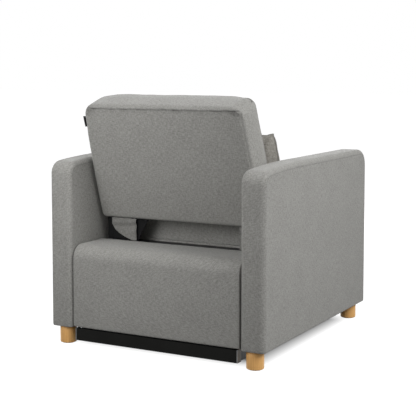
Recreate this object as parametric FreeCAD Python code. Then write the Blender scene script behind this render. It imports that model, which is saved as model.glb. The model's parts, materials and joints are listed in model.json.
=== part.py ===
import FreeCAD, Part
import math
import os

from FreeCAD import Vector

# A convertible chair bed: a boxy upholstered armchair whose back folds down flat onto a box
# behind the seat, and whose lower front pulls out on castors with a second pad on it.
# Millimetres, +Z up, origin on the floor under the middle. The sitter faces -Y, and left and
# right are the sitter's own, so left is +X.

# Outer sizes
WIDTH = 800.0
DEPTH = 876.0
ARM_TOP = 630.0
ARM_THICKNESS = 84.0
LEG_HEIGHT = 59.0

# Arms: a board box inside a padded cover
ARM_CORNER = 65.0
ARM_EDGE = 16.0
ARM_PADDING = 10.0
ARM_SKIN = 3.0
ARM_POST = 40.0
ARM_RAIL = 40.0

# Legs
LEG_RADIUS = 28.0
LEG_CHAMFER = 2.5
LEG_FROM_SIDE = 47.0
LEG_FROM_FRONT = 49.0
LEG_FROM_REAR = 35.0
LEG_BOLT_IN_LEG = 34.0
LEG_BOLT_IN_RAIL = 32.0

# Fasteners
BOLT_RADIUS = 4.0
BOLT_HEAD_RADIUS = 7.5
BOLT_HEAD_HEIGHT = 5.0
BOLT_CLEARANCE = 0.3
BOLT_END_GAP = 1.0
BOLT_IN_ARM = 34.0
SEAT_BOLT_FROM_FRONT = 102.0
SEAT_BOLT_SPACING = 240.0
SEAT_BOLT_FROM_REAR = 46.0
BOX_BOLT_UP = 58.0
BOX_BOLT_DOWN = 53.0

# Steps of the soft forms, round a side and from there to the middle
SIDE_STEPS = 3
CROWN_STEPS = 6

# Clearances
TOUCH = 0.3
SIDE_GAP = 4.0
PIN_CLEARANCE = 0.05
POCKET_CLEARANCE = 0.5
CUT_PAST = 1.0

# Least bulge and least corner radius of a soft form's side
LEAST_BULGE = 0.3
LEAST_ROUND = 2.0

# Rear box that the back lies on
BOX_TOP = 338.0
BOX_SET_IN = 6.0
BOX_DEPTH = 180.0
BOX_LIFT = 3.0
BOX_REAR_EDGE = 45.0
BOX_FRONT_EDGE = 8.0
BOX_PADDING = 12.0
BOX_BOARD = 12.0

# Seat
SEAT_PAD_THICKNESS = 114.0
SEAT_SET_IN = 6.0
SEAT_TO_TUBE = 10.0
SEAT_CROWN = 12.0
SEAT_FRONT_BULGE = 6.0
SEAT_LOWER_ROUND = 8.0
SEAT_SIDE_ROUND = 16.0
SEAT_FRONT_ROUND = 34.0
SEAT_REAR_ROUND = 50.0
SEAT_SIDE_GAP = 5.0
RAIL_WIDTH = 24.0
RAIL_HEIGHT = 34.0
PANEL_THICKNESS = 9.0
SLAT_THICKNESS = 12.0
SLAT_WIDTH = 52.0
SLAT_COUNT = 8

# Back
BACK_OVER_BOX = 12.0
BACK_ABOVE_BOX = 75.0
BACK_TILT = 18.4
BACK_LENGTH = 415.0
BACK_THICKNESS = 124.0
BACK_SIDE_GAP = 10.0
BACK_NARROWING = 11.0
BACK_TOP_CORNER = 40.0
BACK_WIDEST = 0.5
BACK_EDGE = 14.0
BACK_FRONT_CROWN = 34.0
BACK_REAR_CROWN = 4.0
BACK_TOP_CROWN = 5.0
BACK_FRONT_ROUND = 22.0
BACK_FOOT_ROUND = 10.0
BACK_TOP_ROUND = 12.0
BACK_REST_GAP = 8.0
BACK_PANEL_DEPTH = 38.0
BACK_PANEL_INSET = 41.0
BACK_PANEL_THICKNESS = 12.0
BACK_PANEL_LENGTH = 372.0
BACK_PANEL_UP = 6.0
BATTEN_WIDTH = 40.0
BATTEN_THICKNESS = 32.0
BATTEN_LENGTH = 300.0

# Hinges between the rear box and the back
HINGE_FROM_SIDE = 98.0
HINGE_DROP = 22.0
HINGE_PLATE = 4.0
HINGE_DISC = 12.0
HINGE_PLATE_GAP = 0.5
HINGE_PIN_RADIUS = 5.0
HINGE_PIN_HEAD = 9.0
HINGE_PIN_HEAD_HEIGHT = 3.5
HINGE_ARM_UP = 110.0
TUBE_TO_BOX = 26.0
TUBE_DEPTH = 40.0
TUBE_HEIGHT = 34.0
TUBE_WALL = 2.0

# Fabric flaps that hide the hinges
FLAP_INWARD = 46.0
FLAP_OUTWARD = 52.0
FLAP_THICKNESS = 8.0
FLAP_PROUD = 2.0
FLAP_CUT_Z = 26.0
FLAP_CUT_X = 88.0
FLAP_BULGE = 10.0
FLAP_TUCK = 1.5

# Side tag on the back
TAG_WIDTH = 14.0
TAG_SEAM = 7.0
TAG_HEIGHT = 38.0
TAG_THICKNESS = 3.0
TAG_UP = 330.0
TAG_DEPTH = 16.0

# Loose pillow
PILLOW_SIDE_GAP = 26.0
PILLOW_HEIGHT = 268.0
PILLOW_THICKNESS = 132.0
PILLOW_EDGE = 16.0
PILLOW_SEAM_ROUND = 4.0
PILLOW_SIDE_DRAW = 4.8
PILLOW_SIDE_SHARE = 0.04
PILLOW_DRAW = 14.0
PILLOW_SINK = 4.6
PILLOW_NEST = 6.8

# Pull-out carriage
WHEEL_RADIUS = 20.0
WHEEL_WIDTH = 18.0
WHEEL_ROUND = 3.0
AXLE_RADIUS = 4.0
FLOOR_GAP = 0.3
WHEEL_FROM_BOARD = 49.0
WHEEL_FROM_TAIL = 88.0
BEAM_SIDE_GAP = 19.0
BEAM_WIDTH = 25.0
BEAM_HEIGHT = 40.0
BEAM_BOTTOM = 15.0
BEAM_WALL = 2.0
CROSS_WIDTH = 25.0
CROSS_FROM_LINK = 100.0
TAIL_SET_IN = 8.0
TAIL_THICKNESS = 12.0
TAIL_SIDE_GAP = 11.0
TAIL_LIFT = 2.0
TAIL_TO_BOX = 4.0
FLANGE_THICKNESS = 3.0
FLANGE_DEPTH = 26.0

# Pull-out front and bed pad
FRONT_SET_IN = 7.0
FRONT_PADDING = 17.0
FRONT_BOARD = 15.0
FRONT_SIDE_GAP = 10.0
FRONT_TO_RAIL = 4.0
FRONT_EDGE = 9.0
DECK_THICKNESS = 12.0
DECK_RAIL_HEIGHT = 25.0
DECK_RAIL_WALL = 3.0
PAD_TO_BOX = 22.0
PAD_TO_RAIL = 6.0
PAD_THICKNESS = 101.0
PAD_CROWN = 8.0
PAD_SIDE_GAP = 21.0
PAD_ROUND = 16.0
PAD_LOWER_ROUND = 8.0
PAD_UPPER_ROUND = 22.0
TAB_WIDTH = 34.0
TAB_LENGTH = 70.0
TAB_THICKNESS = 2.5
BUMPER_RADIUS = 11.0

# Folded lifting links under the bed pad
LINK_LENGTH = 260.0
LINK_WIDTH = 22.0
LINK_THICKNESS = 4.0
LINK_FROM_BOARD = 99.0
LINK_FROM_PAD_REAR = 290.0
LINK_BELOW_BEAM_TOP = 15.0
LINK_BELOW_DECK = 13.0
LINK_PIN_RADIUS = 4.0
LINK_PIN_HEAD = 6.8
LINK_GAP = 1.0

# What follows from the sizes above
HALF_WIDTH = WIDTH / 2
HALF_DEPTH = DEPTH / 2
INNER = HALF_WIDTH - ARM_THICKNESS
LEG_X = HALF_WIDTH - LEG_FROM_SIDE
LEG_Y = {"front": -HALF_DEPTH + LEG_FROM_FRONT, "rear": HALF_DEPTH - LEG_FROM_REAR}
BOX_BOTTOM = LEG_HEIGHT + BOX_LIFT
BOX_HALF = INNER - SIDE_GAP
BOX_REAR = HALF_DEPTH - BOX_SET_IN
BOX_FRONT = BOX_REAR - BOX_DEPTH
TUBE_FRONT = BOX_FRONT - TUBE_TO_BOX - TUBE_DEPTH
SEAT_FRONT = -HALF_DEPTH + SEAT_SET_IN
SEAT_REAR = TUBE_FRONT - SEAT_TO_TUBE
DECK_LEVEL = BOX_TOP
SEAT_TOP = DECK_LEVEL + SEAT_PAD_THICKNESS
SLAT_BOTTOM = DECK_LEVEL - SLAT_THICKNESS
RAIL_BOTTOM = SLAT_BOTTOM - RAIL_HEIGHT
RAIL_OUTER = INNER - TOUCH
RAIL_INNER = RAIL_OUTER - RAIL_WIDTH
RAIL_MIDDLE_Z = RAIL_BOTTOM + RAIL_HEIGHT / 2
RAIL_FRONT_Y = SEAT_FRONT + PANEL_THICKNESS + TOUCH
RAIL_REAR_Y = SEAT_REAR - PANEL_THICKNESS - TOUCH
ARM_HOLLOW_IN = INNER + ARM_PADDING
ARM_HOLLOW_OUT = HALF_WIDTH - ARM_PADDING
BOX_BOLT_Y = BOX_REAR - BOX_PADDING - BOX_BOARD - BOLT_HEAD_RADIUS * 2
BOX_BOLTS_Z = (BOX_BOTTOM + BOX_BOLT_UP, BOX_TOP - BOX_BOLT_DOWN)
SEAT_BOLTS_Y = (
    SEAT_FRONT + SEAT_BOLT_FROM_FRONT,
    SEAT_FRONT + SEAT_BOLT_FROM_FRONT + SEAT_BOLT_SPACING,
    SEAT_REAR - SEAT_BOLT_FROM_REAR,
)
BACK_WIDTH = (INNER - BACK_SIDE_GAP) * 2
BACK_PANEL_WIDTH = BACK_WIDTH - BACK_PANEL_INSET * 2
BACK_FOOT_Y = BOX_FRONT + BACK_OVER_BOX
BACK_FOOT_Z = BOX_TOP + BACK_ABOVE_BOX
TILT_SIN = math.sin(math.radians(BACK_TILT))
TILT_COS = math.cos(math.radians(BACK_TILT))
HINGE_DEPTH = (BACK_FOOT_Z - TILT_COS * HINGE_DROP - BOX_TOP - BACK_REST_GAP) / (1 - TILT_SIN)
HINGE_Y = BACK_FOOT_Y - TILT_SIN * HINGE_DROP - TILT_COS * HINGE_DEPTH
HINGE_Z = BACK_FOOT_Z - TILT_COS * HINGE_DROP + TILT_SIN * HINGE_DEPTH
HINGE_X = INNER - HINGE_FROM_SIDE
FLAP_INNER_X = HINGE_X - FLAP_INWARD
FLAP_OUTER_X = HINGE_X + FLAP_OUTWARD
FLAP_Y = BOX_FRONT - FLAP_PROUD
TUBE_TOP = SLAT_BOTTOM + SLAT_THICKNESS / 2
TUBE_BOTTOM = TUBE_TOP - TUBE_HEIGHT
PILLOW_WIDTH = (INNER - PILLOW_SIDE_GAP) * 2
WHEEL_Z = WHEEL_RADIUS + FLOOR_GAP
BEAM_OUTER_X = INNER - BEAM_SIDE_GAP
BEAM_INNER_X = BEAM_OUTER_X - BEAM_WIDTH
BEAM_TOP = BEAM_BOTTOM + BEAM_HEIGHT
FRONT_FACE = -HALF_DEPTH + FRONT_SET_IN
FRONT_BOARD_FACE = FRONT_FACE + FRONT_PADDING
FRONT_BOARD_BACK = FRONT_BOARD_FACE + FRONT_BOARD
FRONT_WIDTH = (INNER - FRONT_SIDE_GAP) * 2
FRONT_TOP = RAIL_BOTTOM - FRONT_TO_RAIL
FRONT_BOTTOM = BOX_BOTTOM
TAIL_REAR = HALF_DEPTH - TAIL_SET_IN
TAIL_FACE = TAIL_REAR - TAIL_THICKNESS
TAIL_WIDTH = (INNER - TAIL_SIDE_GAP - FLANGE_THICKNESS) * 2
TAIL_BOTTOM = BEAM_BOTTOM + TAIL_LIFT
TAIL_TOP = BOX_BOTTOM - TAIL_TO_BOX
PAD_REAR = BOX_FRONT - PAD_TO_BOX
PAD_WIDTH = (INNER - PAD_SIDE_GAP) * 2
PAD_TOP = RAIL_BOTTOM - PAD_TO_RAIL - PAD_CROWN
DECK_TOP = PAD_TOP - PAD_THICKNESS
DECK_BOTTOM = DECK_TOP - DECK_THICKNESS
DECK_RAIL_BOTTOM = DECK_BOTTOM - DECK_RAIL_HEIGHT
WHEEL_OUTER_X = BEAM_INNER_X - TOUCH
WHEEL_X = WHEEL_OUTER_X - WHEEL_WIDTH / 2
WHEEL_Y = {"front": FRONT_BOARD_BACK + WHEEL_FROM_BOARD, "rear": TAIL_FACE - WHEEL_FROM_TAIL}
LINK_FRONT_Y = FRONT_BOARD_BACK + LINK_FROM_BOARD
LINK_REAR_Y = PAD_REAR - LINK_FROM_PAD_REAR
LINK_LOW_Z = BEAM_TOP - LINK_BELOW_BEAM_TOP
LINK_HIGH_Z = DECK_BOTTOM - LINK_BELOW_DECK
CROSS_MIDDLE_Y = LINK_REAR_Y + CROSS_FROM_LINK

PIECES = {}


def box(x0, x1, y0, y1, z0, z1):
    """A block between two corners."""
    return Part.makeBox(x1 - x0, y1 - y0, z1 - z0, Vector(x0, y0, z0))


def across(radius, x0, x1, y, z):
    """A round bar along X."""
    return Part.makeCylinder(radius, x1 - x0, Vector(x0, y, z), Vector(1, 0, 0))


def upright(radius, x, y, z0, z1):
    """A round bar along Z."""
    return Part.makeCylinder(radius, z1 - z0, Vector(x, y, z0))


def plate(points, x0, x1):
    """A flat plate in the YZ plane, from its corner points (y, z)."""
    ring = [Vector(x0, y, z) for y, z in points]
    face = Part.Face(Part.makePolygon(ring + ring[:1]))
    return face.extrude(Vector(x1 - x0, 0, 0))


def mirrored(shape):
    """The same piece on the other side of the chair."""
    return shape.mirror(Vector(0, 0, 0), Vector(1, 0, 0))


def pair(name, shape):
    """Keep a piece and its mirror image under left and right names."""
    PIECES[name + "_left"] = shape
    PIECES[name + "_right"] = mirrored(shape)


def group(shapes):
    """Separate solids under one name."""
    return Part.makeCompound(shapes)


def both_sides(shapes):
    """The solids given and their mirror images."""
    return list(shapes) + [mirrored(shape) for shape in shapes]


def arc(start, middle, end):
    """An arc through three points."""
    return Part.Arc(start, middle, end).toShape()


def soft_section(x, y_span, z_span, radii, bulges):
    """A rounded, bulging rectangle in the plane X = x.

    radii are those of the corners low front, low rear, high rear and high front, and bulges
    say how far the bottom, rear, top and front sides stand out at their middles.
    """
    corners = [
        Vector(x, y_span[0], z_span[0]),
        Vector(x, y_span[1], z_span[0]),
        Vector(x, y_span[1], z_span[1]),
        Vector(x, y_span[0], z_span[1]),
    ]
    along = [Vector(0, 1, 0), Vector(0, 0, 1), Vector(0, -1, 0), Vector(0, 0, -1)]
    out = [Vector(0, 0, -1), Vector(0, 1, 0), Vector(0, 0, 1), Vector(0, -1, 0)]
    edges = []
    for i in range(4):
        j = (i + 1) % 4
        start = corners[i] + along[i] * radii[i]
        end = corners[j] - along[i] * radii[j]
        middle = (start + end) * 0.5 + out[i] * bulges[i]
        edges.append(arc(start, middle, end))
        centre = end + along[j] * radii[j]
        bend = centre + (along[i] - along[j]) * (radii[j] / math.sqrt(2))
        edges.append(arc(end, bend, corners[j] + along[j] * radii[j]))
    return Part.Wire(edges)


def soft_form(stations, y_span, z_span, radii, bulges):
    """A cushion lofted across the chair.

    Each station is (x, inset, crown share, drop): how far every side is drawn in there, the
    share of the bulges, and how much lower the top edge lies. Stations run from the side to
    the middle and are mirrored.
    """
    ring = stations + [(-x, *rest) for x, *rest in reversed(stations[:-1])]
    wires = []
    for x, inset, share, drop in ring:
        ys = (y_span[0] + inset, y_span[1] - inset)
        zs = (z_span[0] + inset, z_span[1] - inset - drop)
        sides = [max(LEAST_BULGE, bulge * share) for bulge in bulges]
        rounds = [max(LEAST_ROUND, radius - inset / 2) for radius in radii]
        wires.append(soft_section(x, ys, zs, rounds, sides))
    return Part.makeLoft(wires, True, True)


def crown_share(x, half):
    """How much of a cushion's bulge is left at x, from all of it in the middle to none."""
    return 1 - (abs(x) / half) ** 3


def boxed_stations(half, rounding, drop=lambda x: 0.0):
    """Stations of a boxed cushion with rounded sides and a crown that dies out towards them."""
    stations = []
    for i in range(SIDE_STEPS + 1):
        turn = math.radians(90 * i / SIDE_STEPS)
        x = half - rounding * (1 - math.cos(turn))
        stations.append((x, rounding * (1 - math.sin(turn)), crown_share(x, half), drop(x)))
    start = half - rounding
    for i in range(1, CROWN_STEPS + 1):
        x = start * math.cos(math.radians(90 * i / CROWN_STEPS))
        stations.append((x, 0.0, crown_share(x, half), drop(x)))
    return stations


def arm_outline(x0, x1, inset, bottom):
    """The arm's side view, an upright rectangle with rounded top corners, as a slab."""
    y0 = -HALF_DEPTH + inset
    y1 = HALF_DEPTH - inset
    top = ARM_TOP - inset
    radius = ARM_CORNER - inset
    slant = radius * (1 - math.sqrt(0.5))
    edges = [
        Part.makeLine(Vector(x0, y0, bottom), Vector(x0, y1, bottom)),
        Part.makeLine(Vector(x0, y1, bottom), Vector(x0, y1, top - radius)),
        arc(
            Vector(x0, y1, top - radius),
            Vector(x0, y1 - slant, top - slant),
            Vector(x0, y1 - radius, top),
        ),
        Part.makeLine(Vector(x0, y1 - radius, top), Vector(x0, y0 + radius, top)),
        arc(
            Vector(x0, y0 + radius, top),
            Vector(x0, y0 + slant, top - slant),
            Vector(x0, y0, top - radius),
        ),
        Part.makeLine(Vector(x0, y0, top - radius), Vector(x0, y0, bottom)),
    ]
    return Part.Face(Part.Wire(edges)).extrude(Vector(x1 - x0, 0, 0))


def upper_side_edges(shape, x_values, above):
    """The edges of the faces at the given X, apart from those along the bottom."""
    found = []
    for edge in shape.Edges:
        b = edge.BoundBox
        flat = b.XMax - b.XMin < 1e-6
        if flat and any(abs(b.XMin - x) < 1e-6 for x in x_values) and b.ZMax > above:
            found.append(edge)
    return found


def frame_bolt_places():
    """Where the bolts between the middle and the arms go: y, z and the inner end's x."""
    head = RAIL_INNER - TOUCH
    places = [(y, RAIL_MIDDLE_Z, head) for y in SEAT_BOLTS_Y]
    board = BOX_HALF - BOX_PADDING - BOX_BOARD - TOUCH
    places += [(BOX_BOLT_Y, z, board) for z in BOX_BOLTS_Z]
    places += [(TUBE_FRONT + TUBE_DEPTH / 2, TUBE_TOP - TUBE_HEIGHT / 2, RAIL_OUTER - TUBE_WALL)]
    return places


def drilled(shape):
    """A left-hand piece with the holes that the frame bolts pass through."""
    for y, z, start in frame_bolt_places():
        end = ARM_HOLLOW_IN + BOLT_IN_ARM + BOLT_END_GAP
        shape = shape.cut(across(BOLT_RADIUS + BOLT_CLEARANCE, start - CUT_PAST, end, y, z))
    return shape


def make_arms():
    """The two arms, each a board box in a padded cover."""
    cover = arm_outline(INNER, HALF_WIDTH, 0.0, LEG_HEIGHT)
    edges = upper_side_edges(cover, (INNER, HALF_WIDTH), LEG_HEIGHT + CUT_PAST)
    cover = cover.makeFillet(ARM_EDGE, edges)
    hollow = arm_outline(ARM_HOLLOW_IN, ARM_HOLLOW_OUT, ARM_PADDING, LEG_HEIGHT - CUT_PAST)
    pair("arm_cover", drilled(cover.cut(hollow)))

    x0 = ARM_HOLLOW_IN + TOUCH
    x1 = ARM_HOLLOW_OUT - TOUCH
    y0 = -HALF_DEPTH + ARM_PADDING + TOUCH
    y1 = HALF_DEPTH - ARM_PADDING - TOUCH
    top = ARM_TOP - ARM_PADDING - TOUCH
    inside = arm_outline(x0, x1, ARM_PADDING + TOUCH, LEG_HEIGHT)
    rail_low = LEG_HEIGHT + ARM_RAIL
    rail_high = top - ARM_RAIL
    middle = RAIL_MIDDLE_Z
    core0 = x0 + ARM_SKIN
    core1 = x1 - ARM_SKIN
    members = [
        box(x0, x0 + ARM_SKIN, y0, y1, LEG_HEIGHT, top),
        box(x1 - ARM_SKIN, x1, y0, y1, LEG_HEIGHT, top),
        box(core0, core1, y0, y1, LEG_HEIGHT, rail_low),
        box(core0, core1, y0, y1, rail_high, top),
        box(core0, core1, y0, y0 + ARM_POST, rail_low, rail_high),
        box(core0, core1, y1 - ARM_POST, y1, rail_low, rail_high),
        box(core0, core1, y0 + ARM_POST, y1 - ARM_POST, middle - ARM_RAIL / 2, middle + ARM_RAIL / 2),
    ]
    for y in LEG_Y.values():
        end = LEG_HEIGHT + LEG_BOLT_IN_RAIL + BOLT_END_GAP
        hole = upright(BOLT_RADIUS + BOLT_CLEARANCE, LEG_X, y, LEG_HEIGHT - CUT_PAST, end)
        members[2] = members[2].cut(hole)
    pair("arm_frame", group([drilled(member.common(inside)) for member in members]))


def make_legs():
    """Four round legs and the bolts that hold them to the arms."""
    bolts = []
    for end, y in LEG_Y.items():
        leg = upright(LEG_RADIUS, LEG_X, y, 0.0, LEG_HEIGHT)
        foot = [edge for edge in leg.Edges if edge.BoundBox.ZMax < 1e-6]
        leg = leg.makeChamfer(LEG_CHAMFER, foot)
        bottom = LEG_HEIGHT - LEG_BOLT_IN_LEG - BOLT_END_GAP
        leg = leg.cut(upright(BOLT_RADIUS + BOLT_CLEARANCE, LEG_X, y, bottom, LEG_HEIGHT + CUT_PAST))
        pair("leg_" + end, leg)
        bolts.append(upright(BOLT_RADIUS, LEG_X, y, bottom + TOUCH, LEG_HEIGHT + LEG_BOLT_IN_RAIL))
    PIECES["leg_bolts"] = group(both_sides(bolts))


def make_frame_bolts():
    """Hex bolts that hold the seat, the rear box and the hinge tube to the arms."""
    bolts = []
    for y, z, start in frame_bolt_places():
        shank = across(BOLT_RADIUS, start, ARM_HOLLOW_IN + BOLT_IN_ARM, y, z)
        corners = []
        for i in range(6):
            turn = math.radians(60 * i)
            corners.append((y + BOLT_HEAD_RADIUS * math.cos(turn), z + BOLT_HEAD_RADIUS * math.sin(turn)))
        head = plate(corners, start - BOLT_HEAD_HEIGHT, start)
        bolts.append(shank.fuse(head).removeSplitter())
    PIECES["frame_bolts"] = group(both_sides(bolts))


def make_rear_box():
    """The upholstered box behind the seat, closed by boards inside, with its two buffers."""
    radius = BOX_REAR_EDGE
    outer = box(-BOX_HALF, BOX_HALF, BOX_FRONT, BOX_REAR, BOX_BOTTOM, BOX_TOP)
    rear = [
        e for e in outer.Edges if e.BoundBox.YMin > BOX_REAR - 1e-6 and e.BoundBox.ZMin > BOX_TOP - 1e-6
    ]
    outer = outer.makeFillet(radius, rear)
    front = [
        e for e in outer.Edges if e.BoundBox.YMax < BOX_FRONT + 1e-6 and e.BoundBox.ZMin > BOX_TOP - 1e-6
    ]
    outer = outer.makeFillet(BOX_FRONT_EDGE, front)
    inner_half = BOX_HALF - BOX_PADDING
    front_board = BOX_FRONT + BOX_BOARD + TOUCH
    top = BOX_TOP - BOX_PADDING
    rear_y = BOX_REAR - BOX_PADDING
    bottom = BOX_BOTTOM
    hollow = box(-inner_half, inner_half, BOX_FRONT - CUT_PAST, rear_y, bottom - CUT_PAST, top)
    edge = [
        e for e in hollow.Edges if e.BoundBox.YMin > rear_y - 1e-6 and e.BoundBox.ZMin > top - 1e-6
    ]
    hollow = hollow.makeFillet(radius - BOX_PADDING, edge)
    cover = outer.cut(hollow)
    for sign in (1, -1):
        for y, z, start in frame_bolt_places():
            hole = across(BOLT_RADIUS + BOLT_CLEARANCE, start - CUT_PAST, INNER, y, z)
            cover = cover.cut(hole if sign > 0 else mirrored(hole))
    PIECES["rear_box_cover"] = cover

    half = inner_half - TOUCH
    y0 = BOX_FRONT + TOUCH
    y1 = rear_y - TOUCH
    z0 = bottom + TOUCH
    z1 = top - TOUCH
    inside = box(-half, half, y0, y1, z0, z1)
    edge = [e for e in inside.Edges if e.BoundBox.YMin > y1 - 1e-6 and e.BoundBox.ZMin > z1 - 1e-6]
    inside = inside.makeFillet(radius - BOX_PADDING - TOUCH, edge)
    drop = radius - BOX_PADDING
    end_board = box(half - BOX_BOARD, half, y0 + BOX_BOARD, y1 - BOX_BOARD, z0 + BOX_BOARD, z1 - BOX_BOARD)
    boards = [
        box(-half, half, y0, front_board, z0, z1),
        box(-half, half, front_board, y1, z0, z0 + BOX_BOARD),
        box(-half, half, front_board, y1 - drop, z1 - BOX_BOARD, z1),
        box(-half, half, y1 - BOX_BOARD, y1, z0 + BOX_BOARD, z1 - drop),
    ]
    boards = [board.common(inside) for board in boards]
    boards += both_sides([drilled(end_board.common(inside))])
    rail = box(-half + BOX_BOARD, half - BOX_BOARD, y1 - drop, y1 - BOX_BOARD, z1 - drop, z1 - BOX_BOARD)
    boards.append(rail)
    PIECES["rear_box_frame"] = group(boards)

    level = DECK_BOTTOM - DECK_RAIL_HEIGHT / 2
    place = BEAM_INNER_X + BEAM_WIDTH / 2
    stand = BOX_FRONT - PAD_REAR - TOUCH
    buffer = Part.makeCylinder(BUMPER_RADIUS, stand, Vector(place, PAD_REAR + TOUCH, level), Vector(0, 1, 0))
    PIECES["stop_bumpers"] = group(both_sides([buffer]))


def make_seat():
    """The fixed seat: four rails, slats, two covered panels and the pad."""
    side = box(RAIL_INNER, RAIL_OUTER, RAIL_FRONT_Y, RAIL_REAR_Y, RAIL_BOTTOM, SLAT_BOTTOM)
    pair("seat_rail", drilled(side))
    for end, y in (("front", RAIL_FRONT_Y), ("rear", RAIL_REAR_Y - RAIL_WIDTH)):
        PIECES["seat_rail_" + end] = box(
            -RAIL_INNER, RAIL_INNER, y, y + RAIL_WIDTH, RAIL_BOTTOM, SLAT_BOTTOM
        )

    pitch = (RAIL_REAR_Y - RAIL_FRONT_Y - SLAT_WIDTH) / (SLAT_COUNT - 1)
    slats = []
    for i in range(SLAT_COUNT):
        y = RAIL_FRONT_Y + pitch * i
        slats.append(box(-RAIL_OUTER, RAIL_OUTER, y, y + SLAT_WIDTH, SLAT_BOTTOM, DECK_LEVEL))
    PIECES["seat_slats"] = group(slats)

    panel_top = DECK_LEVEL
    half = INNER - SEAT_SIDE_GAP
    front = box(-half, half, SEAT_FRONT, SEAT_FRONT + PANEL_THICKNESS, RAIL_BOTTOM, panel_top)
    rear = box(-half, half, SEAT_REAR - PANEL_THICKNESS, SEAT_REAR, RAIL_BOTTOM, panel_top)
    PIECES["seat_front_panel"] = front
    PIECES["seat_rear_panel"] = rear

    stations = boxed_stations(half, SEAT_SIDE_ROUND)
    PIECES["seat_pad"] = soft_form(
        stations,
        (SEAT_FRONT, SEAT_REAR),
        (DECK_LEVEL + TOUCH, SEAT_TOP),
        (SEAT_LOWER_ROUND, SEAT_LOWER_ROUND, SEAT_REAR_ROUND, SEAT_FRONT_ROUND),
        (0.0, 0.0, SEAT_CROWN, SEAT_FRONT_BULGE),
    )


def to_back(shape):
    """Set a piece drawn upright in the back's own frame into its tilted place.

    In that frame X runs across, the rear face lies at Y = 0 with the front towards -Y, and Z
    runs up the rear face from the bottom.
    """
    placed = shape.copy()
    placed.rotate(Vector(0, 0, 0), Vector(1, 0, 0), -BACK_TILT)
    placed.translate(Vector(0, BACK_FOOT_Y, BACK_FOOT_Z))
    return placed


def hinge_arm_blank(extra):
    """The hinge arm in the back's frame, larger all round by extra."""
    x0 = HINGE_X + HINGE_PLATE + HINGE_PLATE_GAP
    low = HINGE_DISC + extra
    disc = across(low, x0 - extra, x0 + HINGE_PLATE + extra, -HINGE_DEPTH, -HINGE_DROP)
    web = box(
        x0 - extra,
        x0 + HINGE_PLATE + extra,
        -HINGE_DEPTH - low,
        -HINGE_DEPTH + low,
        -HINGE_DROP,
        HINGE_ARM_UP + extra,
    )
    return disc.fuse(web).removeSplitter()


def back_drop(x):
    """How far the back's top edge lies below its full height at x: a rounded corner, and
    beyond it the side that widens downwards.
    """
    top_half = BACK_WIDTH / 2 - BACK_NARROWING
    into = x - (top_half - BACK_TOP_CORNER)
    if into <= 0:
        return 0.0
    if x <= top_half:
        return BACK_TOP_CORNER - math.sqrt(max(0.0, BACK_TOP_CORNER ** 2 - into ** 2))
    widening = (x - top_half) / BACK_NARROWING
    return BACK_TOP_CORNER + widening * (BACK_LENGTH * BACK_WIDEST - BACK_TOP_CORNER)


def make_back():
    """The folding back: a panel with two battens and hinge arms inside a boxed cushion."""
    half = BACK_WIDTH / 2
    cushion = soft_form(
        boxed_stations(half, BACK_EDGE, back_drop),
        (-BACK_THICKNESS, 0.0),
        (0.0, BACK_LENGTH),
        (BACK_FRONT_ROUND, BACK_FOOT_ROUND, BACK_TOP_ROUND, BACK_FRONT_ROUND),
        (0.0, BACK_REAR_CROWN, BACK_TOP_CROWN, BACK_FRONT_CROWN),
    )
    gap = POCKET_CLEARANCE
    panel_back = -BACK_PANEL_DEPTH
    panel_front = panel_back - BACK_PANEL_THICKNESS
    panel_half = BACK_PANEL_WIDTH / 2
    panel_top = BACK_PANEL_UP + BACK_PANEL_LENGTH
    panel = box(-panel_half, panel_half, panel_front, panel_back, BACK_PANEL_UP, panel_top)
    through = -BACK_EDGE
    pocket = box(
        -panel_half - gap, panel_half + gap, panel_front - gap, panel_back + gap, through, panel_top + gap
    )
    batten_x = HINGE_X + HINGE_PLATE * 2 + HINGE_PLATE_GAP + TOUCH
    batten_front = panel_front - TOUCH - BATTEN_THICKNESS
    batten_top = BACK_PANEL_UP + BATTEN_LENGTH
    batten = box(
        batten_x, batten_x + BATTEN_WIDTH, batten_front, panel_front - TOUCH, BACK_PANEL_UP, batten_top
    )
    batten_pocket = box(
        batten_x - gap, batten_x + BATTEN_WIDTH + gap, batten_front - gap, panel_front, through,
        batten_top + gap,
    )
    cushion = cushion.cut(pocket)
    for cutter in both_sides([batten_pocket, hinge_arm_blank(gap)]):
        cushion = cushion.cut(cutter)

    bore = across(
        HINGE_PIN_RADIUS + PIN_CLEARANCE, HINGE_X, HINGE_X + HINGE_PLATE * 3, -HINGE_DEPTH, -HINGE_DROP
    )
    arm = hinge_arm_blank(0.0).cut(bore)

    PIECES["back_cushion"] = to_back(cushion)
    PIECES["back_panel"] = to_back(panel)
    pair("back_batten", to_back(batten))
    pair("hinge_arm", to_back(arm))

    tag_x = half + TAG_SEAM - TAG_WIDTH
    tag_front = -TAG_DEPTH - TAG_THICKNESS
    tag = box(tag_x - TAG_SEAM, tag_x + TAG_WIDTH, tag_front, -TAG_DEPTH, TAG_UP, TAG_UP + TAG_HEIGHT)
    PIECES["side_tag"] = to_back(tag.cut(cushion))


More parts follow.
